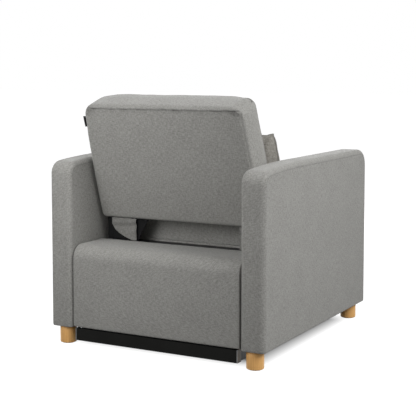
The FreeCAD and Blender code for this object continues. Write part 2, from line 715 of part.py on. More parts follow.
def make_hinges():
    """The steel tube across the chair with the two hinge brackets, pins and fabric flaps."""
    tube = box(
        -RAIL_OUTER, RAIL_OUTER, TUBE_FRONT, TUBE_FRONT + TUBE_DEPTH, TUBE_BOTTOM, TUBE_TOP
    )
    inside = box(
        -RAIL_OUTER + TUBE_WALL, RAIL_OUTER - TUBE_WALL, TUBE_FRONT + TUBE_WALL,
        TUBE_FRONT + TUBE_DEPTH - TUBE_WALL, TUBE_BOTTOM + TUBE_WALL, TUBE_TOP - TUBE_WALL,
    )
    tube = drilled(tube.cut(inside))
    PIECES["hinge_tube"] = mirrored(drilled(mirrored(tube)))

    foot_rear = TUBE_FRONT + TUBE_DEPTH
    outline = [
        (HINGE_Y - HINGE_DISC, HINGE_Z),
        (HINGE_Y - HINGE_DISC, TUBE_TOP),
        (foot_rear, TUBE_TOP),
        (foot_rear, TUBE_TOP + HINGE_PLATE),
        (HINGE_Y + HINGE_DISC, BOX_TOP + HINGE_PLATE),
        (HINGE_Y + HINGE_DISC, HINGE_Z),
    ]
    bracket = plate(outline, HINGE_X, HINGE_X + HINGE_PLATE)
    bracket = bracket.fuse(across(HINGE_DISC, HINGE_X, HINGE_X + HINGE_PLATE, HINGE_Y, HINGE_Z))
    bore = across(
        HINGE_PIN_RADIUS + PIN_CLEARANCE, HINGE_X - CUT_PAST, HINGE_X + HINGE_PLATE + CUT_PAST, HINGE_Y,
        HINGE_Z,
    )
    pair("hinge_bracket", bracket.removeSplitter().cut(bore))

    pin0 = HINGE_X - HINGE_PLATE_GAP
    pin1 = HINGE_X + HINGE_PLATE * 2 + HINGE_PLATE_GAP * 2
    pin = across(HINGE_PIN_RADIUS, pin0 - HINGE_PIN_HEAD_HEIGHT, pin1, HINGE_Y, HINGE_Z)
    head = across(HINGE_PIN_HEAD, pin0 - HINGE_PIN_HEAD_HEIGHT, pin0, HINGE_Y, HINGE_Z)
    pair("hinge_pin", pin.fuse(head).removeSplitter())

    top = BACK_FOOT_Z + FLAP_TUCK
    low = BOX_TOP + TOUCH
    centre = Vector(FLAP_INNER_X, FLAP_Y, top)
    side = Vector(FLAP_OUTER_X, FLAP_Y, top - FLAP_CUT_Z)
    foot = Vector(FLAP_OUTER_X - FLAP_CUT_X, FLAP_Y, low)
    lean = (side + foot) * 0.5
    away = (lean - centre).normalize() * FLAP_BULGE
    edges = [
        Part.makeLine(centre, Vector(FLAP_OUTER_X, FLAP_Y, top)),
        Part.makeLine(Vector(FLAP_OUTER_X, FLAP_Y, top), side),
        arc(side, lean + away, foot),
        Part.makeLine(foot, Vector(FLAP_INNER_X, FLAP_Y, low)),
        Part.makeLine(Vector(FLAP_INNER_X, FLAP_Y, low), centre),
    ]
    flap = Part.Face(Part.Wire(edges)).extrude(Vector(0, FLAP_THICKNESS, 0))
    pair("hinge_flap", flap)


def make_pillow():
    """The loose pillow that stands on the seat and leans on the back."""
    half = PILLOW_WIDTH / 2
    edge = PILLOW_EDGE / 2
    rear = -BACK_THICKNESS - BACK_FRONT_CROWN - TOUCH + PILLOW_NEST
    middle = rear - PILLOW_THICKNESS / 2
    swell = PILLOW_THICKNESS / 2 - edge
    seat = SEAT_TOP + SEAT_CROWN + TOUCH
    low = (seat - BACK_FOOT_Z + middle * TILT_SIN) / TILT_COS - PILLOW_SINK
    high = low + PILLOW_HEIGHT
    stations = []
    for i in range(CROWN_STEPS + 1):
        x = half * math.cos(math.radians(90 * i / CROWN_STEPS))
        share = math.sqrt(crown_share(x, half)) if i else PILLOW_SIDE_SHARE
        inset = 0.0 if i else PILLOW_SIDE_DRAW
        stations.append((x, inset, share, PILLOW_DRAW * (1 - (x / half) ** 2)))
    pillow = soft_form(
        stations,
        (middle - edge, middle + edge),
        (low, high),
        (PILLOW_SEAM_ROUND,) * 4,
        (0.0, swell, 0.0, swell),
    )
    PIECES["pillow"] = to_back(pillow)


def through_beam(radius, y, z):
    """A hole through the left beam, or the rail above it, for a pin of the radius given."""
    return across(radius + PIN_CLEARANCE, BEAM_INNER_X - CUT_PAST, BEAM_OUTER_X + CUT_PAST, y, z)


def make_carriage():
    """The low steel carriage of the pull-out, with its dark tail panel."""
    rear = TAIL_FACE
    beam = box(BEAM_INNER_X, BEAM_OUTER_X, FRONT_BOARD_BACK, rear, BEAM_BOTTOM, BEAM_TOP)
    inside = box(
        BEAM_INNER_X + BEAM_WALL, BEAM_OUTER_X - BEAM_WALL, FRONT_BOARD_BACK + BEAM_WALL,
        rear - BEAM_WALL, BEAM_BOTTOM + BEAM_WALL, BEAM_TOP - BEAM_WALL,
    )
    beam = beam.cut(inside)
    for y in WHEEL_Y.values():
        beam = beam.cut(through_beam(AXLE_RADIUS, y, WHEEL_Z))
    for y in (LINK_FRONT_Y, LINK_REAR_Y):
        beam = beam.cut(through_beam(LINK_PIN_RADIUS, y, LINK_LOW_Z))
    pair("carriage_beam", beam)

    places = {
        "front": FRONT_BOARD_BACK,
        "middle": CROSS_MIDDLE_Y - CROSS_WIDTH / 2,
        "rear": rear - CROSS_WIDTH,
    }
    for name, y in places.items():
        bar = box(-BEAM_INNER_X, BEAM_INNER_X, y, y + CROSS_WIDTH, BEAM_BOTTOM, BEAM_TOP)
        core = box(
            -BEAM_INNER_X + BEAM_WALL, BEAM_INNER_X - BEAM_WALL, y + BEAM_WALL,
            y + CROSS_WIDTH - BEAM_WALL, BEAM_BOTTOM + BEAM_WALL, BEAM_TOP - BEAM_WALL,
        )
        PIECES["carriage_cross_" + name] = bar.cut(core)

    half = TAIL_WIDTH / 2
    PIECES["tail_panel"] = box(-half, half, TAIL_FACE, TAIL_REAR, TAIL_BOTTOM, TAIL_TOP)
    flange = box(
        half, half + FLANGE_THICKNESS, TAIL_REAR - FLANGE_DEPTH, TAIL_REAR, TAIL_BOTTOM, TAIL_TOP
    )
    pair("tail_flange", flange)


def make_wheels():
    """Four castor wheels beside the beams, each on its own axle bolt."""
    axles = []
    for end, y in WHEEL_Y.items():
        wheel = across(WHEEL_RADIUS, WHEEL_X - WHEEL_WIDTH / 2, WHEEL_X + WHEEL_WIDTH / 2, y, WHEEL_Z)
        rims = [e for e in wheel.Edges if isinstance(e.Curve, Part.Circle)]
        wheel = wheel.makeFillet(WHEEL_ROUND, rims)
        reach = WHEEL_WIDTH
        wheel = wheel.cut(across(AXLE_RADIUS + PIN_CLEARANCE, WHEEL_X - reach, WHEEL_X + reach, y, WHEEL_Z))
        pair("wheel_" + end, wheel)
        inner = WHEEL_X - WHEEL_WIDTH / 2 - TOUCH
        shank = across(AXLE_RADIUS, inner, BEAM_OUTER_X + TOUCH, y, WHEEL_Z)
        cap = across(AXLE_RADIUS * 2, inner - AXLE_RADIUS, inner, y, WHEEL_Z)
        nut = across(AXLE_RADIUS * 2, BEAM_OUTER_X + TOUCH, BEAM_OUTER_X + AXLE_RADIUS, y, WHEEL_Z)
        axles.append(shank.fuse([cap, nut]).removeSplitter())
    PIECES["castor_axles"] = group(both_sides(axles))


def make_front():
    """The pull-out's front: a board, its padded cover and the pull tab."""
    half = FRONT_WIDTH / 2
    cover = box(-half, half, FRONT_FACE, FRONT_BOARD_FACE - TOUCH, FRONT_BOTTOM, FRONT_TOP)
    front = [e for e in cover.Edges if e.BoundBox.YMax < FRONT_FACE + 1e-6]
    PIECES["front_cover"] = cover.makeFillet(FRONT_EDGE, front)
    inset = FRONT_EDGE
    PIECES["front_board"] = box(
        -half + inset, half - inset, FRONT_BOARD_FACE, FRONT_BOARD_BACK, BEAM_BOTTOM, FRONT_TOP - inset
    )
    tab_face = FRONT_FACE - TOUCH
    tab_top = FRONT_TOP - FRONT_EDGE * 2
    PIECES["pull_tab"] = box(
        -TAB_WIDTH / 2, TAB_WIDTH / 2, tab_face - TAB_THICKNESS, tab_face, tab_top - TAB_LENGTH, tab_top
    )


def make_bed():
    """The pull-out's deck, its rails, the bed pad and the folded lifting links."""
    rail = box(
        BEAM_INNER_X, BEAM_OUTER_X, FRONT_BOARD_BACK, PAD_REAR, DECK_RAIL_BOTTOM, DECK_BOTTOM
    )
    notch = box(
        BEAM_INNER_X - CUT_PAST, BEAM_OUTER_X - DECK_RAIL_WALL, FRONT_BOARD_BACK - CUT_PAST,
        PAD_REAR + CUT_PAST, DECK_RAIL_BOTTOM - CUT_PAST, DECK_BOTTOM - DECK_RAIL_WALL,
    )
    rail = rail.cut(notch)
    deck_half = BEAM_OUTER_X
    deck = box(-deck_half, deck_half, FRONT_BOARD_BACK, PAD_REAR, DECK_BOTTOM, DECK_TOP)
    PIECES["deck_board"] = deck
    stations = boxed_stations(PAD_WIDTH / 2, PAD_ROUND)
    PIECES["bed_pad"] = soft_form(
        stations,
        (FRONT_BOARD_BACK + TOUCH, PAD_REAR),
        (DECK_TOP + TOUCH, PAD_TOP),
        (PAD_LOWER_ROUND, PAD_LOWER_ROUND, PAD_UPPER_ROUND, PAD_UPPER_ROUND),
        (0.0, 0.0, PAD_CROWN, 0.0),
    )

    rise = LINK_HIGH_Z - LINK_LOW_Z
    run = math.sqrt(LINK_LENGTH ** 2 - rise ** 2)
    x1 = BEAM_INNER_X - LINK_GAP
    x0 = x1 - LINK_THICKNESS
    links = []
    pins = []
    for y in (LINK_FRONT_Y, LINK_REAR_Y):
        far = y + run
        nx = -rise / LINK_LENGTH * LINK_WIDTH / 2
        nz = run / LINK_LENGTH * LINK_WIDTH / 2
        bar = plate(
            [
                (y - nx, LINK_LOW_Z - nz),
                (far - nx, LINK_HIGH_Z - nz),
                (far + nx, LINK_HIGH_Z + nz),
                (y + nx, LINK_LOW_Z + nz),
            ],
            x0,
            x1,
        )
        for end_y, end_z in ((y, LINK_LOW_Z), (far, LINK_HIGH_Z)):
            bar = bar.fuse(across(LINK_WIDTH / 2, x0, x1, end_y, end_z))
        bar = bar.removeSplitter()
        for end_y, end_z in ((y, LINK_LOW_Z), (far, LINK_HIGH_Z)):
            hole = across(LINK_PIN_RADIUS + PIN_CLEARANCE, x0 - CUT_PAST, x1 + CUT_PAST, end_y, end_z)
            bar = bar.cut(hole)
            head = across(LINK_PIN_HEAD, x0 - LINK_GAP - LINK_THICKNESS, x0 - LINK_GAP, end_y, end_z)
            pin = across(LINK_PIN_RADIUS, x0 - LINK_GAP, BEAM_OUTER_X, end_y, end_z)
            pins.append(pin.fuse(head).removeSplitter())
        rail = rail.cut(through_beam(LINK_PIN_RADIUS, far, LINK_HIGH_Z))
        links.append(bar)
    pair("deck_rail", rail)
    PIECES["lift_links"] = group(both_sides(links))
    PIECES["link_pins"] = group(both_sides(pins))


def main():
    make_arms()
    make_legs()
    make_frame_bolts()
    make_rear_box()
    make_seat()
    make_back()
    make_hinges()
    make_pillow()
    make_carriage()
    make_wheels()
    make_front()
    make_bed()
    os.makedirs("parts", exist_ok=True)
    for name, shape in PIECES.items():
        shape.exportStep("parts/" + name + ".step")
        b = shape.BoundBox
        print(
            f"{name}: {len(shape.Solids)} solids, valid {shape.isValid()}, "
            f"x {b.XMin:.1f} {b.XMax:.1f} y {b.YMin:.1f} {b.YMax:.1f} z {b.ZMin:.1f} {b.ZMax:.1f}"
        )


main()
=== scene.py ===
import json
import logging
from dataclasses import dataclass, field
from enum import Enum
from math import cos, pi, radians, sin
from typing import Any

import bmesh
import bpy
import numpy as np
from mathutils import Euler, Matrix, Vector


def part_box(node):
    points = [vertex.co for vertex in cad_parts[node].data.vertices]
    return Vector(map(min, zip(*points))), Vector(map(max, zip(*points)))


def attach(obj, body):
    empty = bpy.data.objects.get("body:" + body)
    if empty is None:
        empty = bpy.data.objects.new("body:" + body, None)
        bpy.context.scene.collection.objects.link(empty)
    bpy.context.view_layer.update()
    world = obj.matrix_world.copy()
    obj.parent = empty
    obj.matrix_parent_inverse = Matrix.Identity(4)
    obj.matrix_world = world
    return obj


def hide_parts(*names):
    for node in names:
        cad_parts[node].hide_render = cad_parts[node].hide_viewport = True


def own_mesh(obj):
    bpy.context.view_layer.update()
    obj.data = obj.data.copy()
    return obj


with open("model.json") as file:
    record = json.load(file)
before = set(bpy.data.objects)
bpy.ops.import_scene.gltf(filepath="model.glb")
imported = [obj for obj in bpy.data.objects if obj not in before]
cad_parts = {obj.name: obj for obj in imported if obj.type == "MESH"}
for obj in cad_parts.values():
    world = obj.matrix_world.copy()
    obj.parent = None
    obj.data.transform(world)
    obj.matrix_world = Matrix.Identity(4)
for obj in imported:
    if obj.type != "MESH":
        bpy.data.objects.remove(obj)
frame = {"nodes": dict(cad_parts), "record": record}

log = logging.getLogger("chair_bed")

Grid = np.ndarray
Values = dict[int | str, Any]
Colour = tuple[float, float, float, float]
Place = tuple[float, float, float]

TINY = 1e-9  # keeps a length that is divided by from being 0
RAYS_THAT_SHOW = ("Camera", "Glossy", "Transmission")


class Slot(Enum):
    """The finishes of the record, by the names of its material slots."""

    UPHOLSTERY = "upholstery"
    SEAT = "seat_fabric"
    BED = "bed_fabric"
    PILLOW = "pillow_fabric"
    LEG = "leg_wood"
    FRAME_WOOD = "frame_wood"
    SLAT = "slat_wood"
    ZINC = "zinc_steel"
    GREY_STEEL = "grey_steel"
    BLACK_STEEL = "black_steel"
    BLACK_PANEL = "black_panel"
    WHEEL = "wheel_rubber"
    BUMPER = "bumper_rubber"
    WEBBING = "webbing"


class Side(Enum):
    """The two sides of the chair, as signs along X."""

    LEFT = 1
    RIGHT = -1

    @property
    def tag(self) -> str:
        """The ending that node names carry for this side."""
        return self.name.lower()


# Shader maths


class Flow:
    """A shader value. Python's own signs between flows and numbers add Math nodes."""

    def __init__(self, board: "Board", socket: bpy.types.NodeSocket) -> None:
        """Keep the board that the value lives on and the socket that gives it."""
        self.board = board
        self.socket = socket

    def math(self, operation: str, *others: Any) -> "Flow":
        """A Math node with this value first."""
        inputs = dict(enumerate((self, *others)))
        return self.board.flow("ShaderNodeMath", {"operation": operation}, inputs)

    def __add__(self, other: Any) -> "Flow":
        """This plus other."""
        return self.math("ADD", other)

    __radd__ = __add__

    def __sub__(self, other: Any) -> "Flow":
        """This minus other."""
        return self.math("SUBTRACT", other)

    def __rsub__(self, other: float) -> "Flow":
        """Other minus this."""
        return self.math("MULTIPLY_ADD", -1.0, other)

    def __mul__(self, other: Any) -> "Flow":
        """This times other."""
        return self.math("MULTIPLY", other)

    __rmul__ = __mul__

    def __pow__(self, other: float) -> "Flow":
        """This to a power."""
        return self.math("POWER", other)

    def wave(self, length: float) -> "Flow":
        """A sine wave along this value, from -1 to 1, one period every length."""
        return (self * (2 * pi / length)).math("SINE")

    def lifted(self) -> "Flow":
        """A wave from -1 to 1 brought to 0 to 1."""
        return self.math("MULTIPLY_ADD", 0.5, 0.5)

    def held(self) -> "Flow":
        """This value, kept between 0 and 1."""
        return self.math("MINIMUM", 1.0).math("MAXIMUM", 0.0)


class Board:
    """The node tree of a material or a world."""

    def __init__(self, owner: bpy.types.Material | bpy.types.World) -> None:
        """Start the owner's tree afresh.

        Args:
            owner: the material or world that the nodes are for.
        """
        owner.use_nodes = True
        self.owner = owner
        self.tree = owner.node_tree
        self.tree.nodes.clear()

    def node(self, kind: str, settings: Values | None = None, inputs: Values | None = None) -> bpy.types.Node:
        """Add a node.

        Args:
            kind: the node's type.
            settings: its own settings, set first.
            inputs: a number, colour or flow for each socket, by name or place.

        Returns:
            The node.
        """
        made = self.tree.nodes.new(kind)
        for key, value in (settings or {}).items():
            setattr(made, key, value)
        for key, value in (inputs or {}).items():
            if isinstance(value, Flow):
                self.tree.links.new(value.socket, made.inputs[key])
            else:
                made.inputs[key].default_value = value
        return made

    def flow(self, kind: str, settings: Values, inputs: Values, out: int | str = 0) -> Flow:
        """Add a node and give one of its outputs as a flow."""
        return Flow(self, self.node(kind, settings, inputs).outputs[out])

    def on_piece(self) -> Flow:
        """The place on the piece, in metres along the chair's axes."""
        return self.flow("ShaderNodeTexCoord", {}, {}, "Object")

    def on_cloth(self) -> Flow:
        """The place on the piece's cloth map, in metres."""
        return self.flow("ShaderNodeUVMap", {"uv_map": "Cloth"}, {})

    def split(self, place: Flow) -> list[Flow]:
        """The three coordinates of a place."""
        return [Flow(self, out) for out in self.node("ShaderNodeSeparateXYZ", {}, {0: place}).outputs]

    def noise(self, place: Flow, scale: float, detail: float = 2.0, rough: float = 0.5) -> Flow:
        """Soft noise from 0 to 1 at a place, scale features to a metre."""
        inputs = {"Vector": place, "Scale": scale, "Detail": detail, "Roughness": rough}
        return self.flow("ShaderNodeTexNoise", {}, inputs, "Fac")

    def stretch(self, place: Flow, scale: Place) -> Flow:
        """The place with each axis multiplied by its own scale."""
        return self.flow("ShaderNodeVectorMath", {"operation": "MULTIPLY"}, {0: place, 1: scale})

    def mix(self, share: Flow, low: Colour, high: Colour) -> Flow:
        """The colour low where share is 0, high where it is 1."""
        return self.flow("ShaderNodeMix", {"data_type": "RGBA"}, {"Factor": share, 6: low, 7: high}, 2)

    def shade(self, colour: Any, share: Flow) -> Flow:
        """The colour, given by a flow or three numbers, multiplied by a grey share."""
        return self.flow("ShaderNodeVectorMath", {"operation": "SCALE"}, {0: colour, "Scale": share})

    def seen(self) -> Flow:
        """Tell the rays that show from those that only light.

        Returns:
            1 where the camera, a reflection or a look through glass meets this, and 0 elsewhere.
        """
        path = self.node("ShaderNodeLightPath")
        camera, glossy, through = (Flow(self, path.outputs[f"Is {ray} Ray"]) for ray in RAYS_THAT_SHOW)
        return camera.math("MAXIMUM", glossy).math("MAXIMUM", through)

    def finish(self, inputs: Values, height: Flow | None = None, deep: float = 0.0) -> bpy.types.Material:
        """End the tree in a Principled shader.

        Args:
            inputs: the shader's sockets.
            height: the relief, from 0 to 1, or None.
            deep: how deep the relief is, in metres.

        Returns:
            The material.
        """
        if height is not None:
            bump = {"Strength": 1.0, "Distance": deep, "Height": height}
            inputs = {**inputs, "Normal": self.flow("ShaderNodeBump", {}, bump)}
        surface = self.flow("ShaderNodeBsdfPrincipled", {}, inputs)
        self.node("ShaderNodeOutputMaterial", {}, {"Surface": surface})
        return self.owner


def linear(red: int, green: int, blue: int) -> Colour:
    """A screen colour as the linear colour that shaders take: c / 12.92 where dark, and
    ((c + 0.055) / 1.055) to the power 2.4 elsewhere.

    Args:
        red: from 0 to 255.
        green: from 0 to 255.
        blue: from 0 to 255.

    Returns:
        Red, green and blue from 0 to 1, and a full alpha.
    """
    parts = np.array([red, green, blue]) / 255.0
    high = ((parts + 0.055) / 1.055) ** 2.4
    return (*np.where(parts < 0.04045, parts / 12.92, high).tolist(), 1.0)


# Finishes


@dataclass(frozen=True)
class Cloth:
    """A plain-woven cloth in two close yarn shades, which follows each piece's cloth map. The
    yarn's width, the slubs' length and the relief are in metres, and each share says how much
    that pattern changes the shade.
    """

    name: str
    light: Colour
    dark: Colour
    yarn: float = 0.0013
    slub: float = 0.012
    relief: float = 0.00025
    nap: float = 0.25
    streak_share: float = 3.5
    check_share: float = 0.2
    cloud_share: float = 0.4
    seam_and_shade_share: float = 0.55

    def material(self) -> bpy.types.Material:
        """Crossed yarns with uneven, streaky shades, a soft cloudiness, darker seams and painted shade.

        Returns:
            The material.
        """
        board = Board(bpy.data.materials.new(self.name))
        place = board.on_cloth()
        along, over, _ = board.split(place)
        crossing = along.wave(self.yarn * 2) * over.wave(self.yarn * 2)
        run, width = 1 / self.slub, 0.5 / self.yarn
        weft = board.noise(board.stretch(place, (run, width, 1.0)), 1.0)
        warp = board.noise(board.stretch(place, (width, run, 1.0)), 1.0)
        chosen = crossing.lifted()
        streaks = weft * chosen + warp * (1.0 - chosen)
        clouds = board.noise(place, 14.0, 3.0)
        share = (streaks - 0.5) * self.streak_share + 0.5 + crossing * self.check_share
        share = share + (clouds - 0.5) * self.cloud_share
        # The seam attribute darkens seams and also carries the painted shade that some pieces set in it.
        seam = board.flow("ShaderNodeAttribute", {"attribute_name": "seam"}, {}, "Fac")
        colour = board.mix(share.held(), self.dark, self.light)
        inputs = {
            "Base Color": board.shade(colour, 1.0 - seam * self.seam_and_shade_share),
            "Roughness": 0.92,
            "Specular IOR Level": 0.25,
            "Sheen Weight": self.nap,
            "Sheen Roughness": 0.5,
        }
        return board.finish(inputs, crossing * 0.35 + streaks * 0.5 + 0.3, self.relief)


@dataclass(frozen=True)
class Timber:
    """Wood whose grain runs along one axis of the chair: the one that along holds back."""

    name: str
    pale: Colour
    deep: Colour
    along: Place = (1.0, 1.0, 0.12)
    ring: float = 0.006
    waviness: float = 0.022
    gloss: float = 0.5
    lacquer: float = 0.0
    relief: float = 0.00008

    def material(self) -> bpy.types.Material:
        """Wavy year rings, fine pores along the grain and a slow change of shade.

        Returns:
            The material.
        """
        board = Board(bpy.data.materials.new(self.name))
        place = board.on_piece()
        stretched = board.stretch(place, self.along)
        x, y, _ = board.split(stretched)
        across = x + y * 0.6 + board.noise(stretched, 22.0, 3.0) * self.waviness
        rings = across.wave(self.ring).lifted() ** 1.6
        pores = board.noise(stretched, 900.0, 2.0, 0.7)
        share = rings * 0.45 + pores * 0.5 + (board.noise(place, 9.0) - 0.5) * 0.5
        inputs = {
            "Base Color": board.mix(share, self.pale, self.deep),
            "Roughness": pores * 0.15 + (self.gloss - 0.07),
            "Coat Weight": self.lacquer,
            "Coat Roughness": 0.25,
        }
        return board.finish(inputs, pores, self.relief)


@dataclass(frozen=True)
class Steel:
    """Sheet or tube steel, plated or painted."""

    name: str
    colour: Colour
    metal: float = 1.0
    gloss: float = 0.35
    glint: float = 0.5
    speckle: float = 0.12
    clouding: float = 0.3
    relief: float = 0.00004

    def material(self) -> bpy.types.Material:
        """An even coat with a fine grain, dulled in clouds where hands and dust reach it.

        Returns:
            The material.
        """
        board = Board(bpy.data.materials.new(self.name))
        place = board.on_piece()
        fine = board.noise(place, 700.0, 2.0)
        clouds = board.noise(place, 12.0, 4.0, 0.6)
        share = (fine - 0.5) * self.speckle + (clouds - 0.5) * self.clouding + 1.0
        inputs = {
            "Base Color": board.shade(self.colour[:3], share),
            "Metallic": self.metal,
            "Roughness": clouds * 0.25 + fine * 0.08 + (self.gloss - 0.16),
            "Specular IOR Level": self.glint,
        }
        return board.finish(inputs, fine, self.relief)


@dataclass(frozen=True)
class Rubber:
    """Moulded rubber, matt, with dust in its pores."""

    name: str
    colour: Colour
    relief: float = 0.0001

    def material(self) -> bpy.types.Material:
        """Fine pores and a faint dusty bloom.

        Returns:
            The material.
        """
        board = Board(bpy.data.materials.new(self.name))
        place = board.on_piece()
        pores = board.noise(place, 1200.0, 2.0)
        dust = board.noise(place, 60.0, 3.0)
        inputs = {
            "Base Color": board.shade(self.colour[:3], dust * 0.7 + pores * 0.2 + 0.6),
            "Roughness": dust * 0.2 + 0.65,
            "Specular IOR Level": 0.35,
        }
        return board.finish(inputs, pores, self.relief)


@dataclass(frozen=True)
class Strap:
    """Ribbed nylon webbing."""

    name: str
    colour: Colour
    rib: float = 0.0022
    slant: float = 0.5
    relief: float = 0.0003

    def material(self) -> bpy.types.Material:
        """Ribs across the strap with a twill slant.

        Returns:
            The material.
        """
        board = Board(bpy.data.materials.new(self.name))
        place = board.on_cloth()
        along, over, _ = board.split(place)
        ribs = (along + over * self.slant).wave(self.rib).lifted()
        share = ribs * 0.35 + board.noise(place, 900.0) * 0.4 + 0.55
        inputs = {
            "Base Color": board.shade(self.colour[:3], share),
            "Roughness": 0.85,
            "Specular IOR Level": 0.2,
        }
        return board.finish(inputs, ribs, self.relief)


GREY_YARNS = linear(168, 167, 163), linear(132, 131, 127)
ALONG_X = (0.12, 1.0, 1.0)
ALONG_Y = (1.0, 0.12, 1.0)


@dataclass
class Wardrobe:
    """Every finish of the chair, each made once when it is first asked for."""

    finishes: dict[Slot, Any] = field(
        default_factory=lambda: {
            Slot.UPHOLSTERY: Cloth("woven_grey", *GREY_YARNS),
            Slot.SEAT: Cloth("woven_grey_seat", *GREY_YARNS),
            Slot.BED: Cloth("woven_grey_bed", *GREY_YARNS),
            Slot.PILLOW: Cloth("woven_grey_pillow", linear(176, 172, 165), linear(131, 128, 121)),
            Slot.LEG: Timber("oiled_beech", linear(248, 195, 122), linear(217, 155, 80), lacquer=0.1),
            Slot.FRAME_WOOD: Timber("pine_board", linear(214, 184, 138), linear(176, 138, 92), ALONG_Y),
            Slot.SLAT: Timber("beech_slat", linear(222, 190, 146), linear(188, 148, 104), ALONG_X),
            Slot.ZINC: Steel("zinc_plate", linear(188, 190, 192)),
            Slot.GREY_STEEL: Steel("grey_powder_coat", linear(128, 129, 129), 0.1, 0.5),
            Slot.BLACK_STEEL: Steel("black_powder_coat", linear(36, 36, 37), 0.0, 0.5),
            Slot.BLACK_PANEL: Steel("black_board", linear(10, 10, 8), 0.0, 0.7, glint=0.12),
            Slot.WHEEL: Rubber("castor_rubber", linear(70, 71, 73)),
            Slot.BUMPER: Rubber("buffer_rubber", linear(44, 44, 45)),
            Slot.WEBBING: Strap("black_webbing", linear(27, 27, 28)),
        }
    )
    made: dict[Slot, bpy.types.Material] = field(default_factory=dict)
    painted: tuple[str, ...] = ("front_board", "seat_rail_left", "seat_rail_right", "seat_rail_front")
    paint: Timber = Timber("painted_board", linear(62, 60, 57), linear(48, 46, 44), ALONG_X)

    def get(self, slot: Slot) -> bpy.types.Material:
        """The material of a slot, made when it is first asked for.

        Args:
            slot: one of the record's finishes.

        Returns:
            The material.
        """
        if slot not in self.made:
            self.made[slot] = self.finishes[slot].material()
        return self.made[slot]

    def dress_nodes(self) -> None:
        """Give every node of the frame the finish that its record names; the boards that show
        round the front panels are painted.
        """
        paint = self.paint.material()
        rows = {row["node"]: Slot(row["material_slot"]) for row in frame["record"]["subparts"]}
        for name, node in frame["nodes"].items():
            material = paint if name in self.painted else self.get(rows[name])
            if not node.material_slots:
                node.data.materials.append(material)
            for place in node.material_slots:
                place.material = material
        log.info("dressed %d nodes of the frame", len(rows))


# Surfaces


@dataclass
class Skin:
    """A surface made of grids: points, four-cornered faces, a cloth map in metres, and how
    dark each point is made by its seams and by painted shade.
    """

    points: Grid
    faces: Grid
    cloth: Grid
    # How dark each point is, along seams and where shade is painted.
    seam: Grid | None = None

    def place(self, name: str, body: str, slot: Slot, wardrobe: Wardrobe) -> bpy.types.Object:
        """Make the object of this skin.

        Args:
            name: the piece's name.
            body: the body that it rides on.
            slot: its finish.
            wardrobe: where the finish hangs.

        Returns:
            The object, closed along its grids' borders, smooth and facing outwards.
        """
        mesh = bpy.data.meshes.new(name)
        mesh.from_pydata(self.points.tolist(), [], self.faces.tolist())
        layer = mesh.uv_layers.new(name="Cloth")
        layer.data.foreach_set("uv", self.cloth.astype(np.float32).ravel())
        # The seam attribute holds seam darkness and painted shade.
        marks = np.zeros(len(self.points)) if self.seam is None else self.seam
        mesh.attributes.new("seam", "FLOAT", "POINT").data.foreach_set("value", marks.astype(np.float32))
        shape = bmesh.new()
        shape.from_mesh(mesh)
        bmesh.ops.remove_doubles(shape, verts=shape.verts, dist=2e-6)
        bmesh.ops.recalc_face_normals(shape, faces=shape.faces)
        shape.to_mesh(mesh)
        shape.free()
        mesh.polygons.foreach_set("use_smooth", np.ones(len(mesh.polygons), bool))
        mesh.materials.append(wardrobe.get(slot))
        piece = bpy.data.objects.new(name, mesh)
        bpy.context.scene.collection.objects.link(piece)
        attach(piece, body)
        log.info("%s: %d faces on %s", name, len(mesh.polygons), body)
        return piece


def grid_faces(rows: int, columns: int) -> Grid:
    """The faces between neighbouring points of a grid, as four point numbers each."""
    corner = (np.arange(rows - 1)[:, None] * columns + np.arange(columns - 1)[None, :]).ravel()
    return np.stack([corner, corner + 1, corner + columns + 1, corner + columns], 1)


def grid_cloth(first: Grid, second: Grid) -> Grid:
    """The cloth map of a grid's faces, from two values at each of its points."""
    return np.stack([first, second], -1).reshape(-1, 2)[grid_faces(*first.shape)]


def doubled(front: Grid, back: Grid, cloth: Grid, seam: Grid | None = None, walled: bool = False) -> Skin:
    """Two sheets on the same grid that face apart.

    Args:
        front: the first sheet's points, rows by columns by three.
        back: the second sheet's points.
        cloth: the cloth map of either sheet.
        seam: how dark each point of a sheet is, along seams and where shade is painted, or None.
        walled: whether a wall joins their borders, which otherwise meet.

    Returns:
        The skin.
    """
    rows, columns = front.shape[:2]
    count = rows * columns
    grid = grid_faces(rows, columns)
    faces, maps = [grid, grid[:, ::-1] + count], [cloth, cloth[:, ::-1]]
    if walled:
        last = count - columns
        rim = np.concatenate([
            np.arange(columns - 1),
            np.arange(rows - 1) * columns + columns - 1,
            np.arange(columns - 1, 0, -1) + last,
            np.arange(rows - 1, 0, -1) * columns,
        ])
        after = np.roll(rim, -1)
        faces.append(np.stack([rim, after, after + count, rim + count], 1))
        maps.append(np.zeros((len(rim), 4, 2)))
    points = np.concatenate([front.reshape(-1, 3), back.reshape(-1, 3)])
    marks = None if seam is None else np.tile(seam.ravel(), 2)
    return Skin(points, np.concatenate(faces), np.concatenate(maps), marks)


def ripple(points: Grid, length: float, seed: int, waves: int = 14) -> Grid:
    """Gentle unevenness: the sum of plane sine waves in random directions.

    Args:
        points: places with two or three coordinates.
        length: about how far apart the crests are, in metres.
        seed: of the directions, lengths and shifts.
        waves: how many are summed.

    Returns:
        A value from about -1 to 1 for each place.
    """
    dice = np.random.default_rng(seed)
    ways = dice.normal(size=(waves, points.shape[-1]))
    ways /= np.linalg.norm(ways, axis=1, keepdims=True)
    steps = 2 * pi / (length * dice.uniform(0.7, 1.6, waves))
    shifts = dice.uniform(0, 2 * pi, waves)
    return np.sin(points @ (ways * steps[:, None]).T + shifts).sum(-1) / waves ** 0.5 / 1.6


def bell(distance: Grid, width: float) -> Grid:
    """1 at no distance, dying out within about width: the exponent of -(distance / width)^2."""
    return np.exp(-((distance / width) ** 2))


def ease(value: Grid, start: float, end: float) -> Grid:
    """0 before start and 1 after end, with the smooth step 3s^2 - 2s^3 between."""
    share = np.clip((value - start) / (end - start), 0.0, 1.0)
    return share * share * (3 - 2 * share)


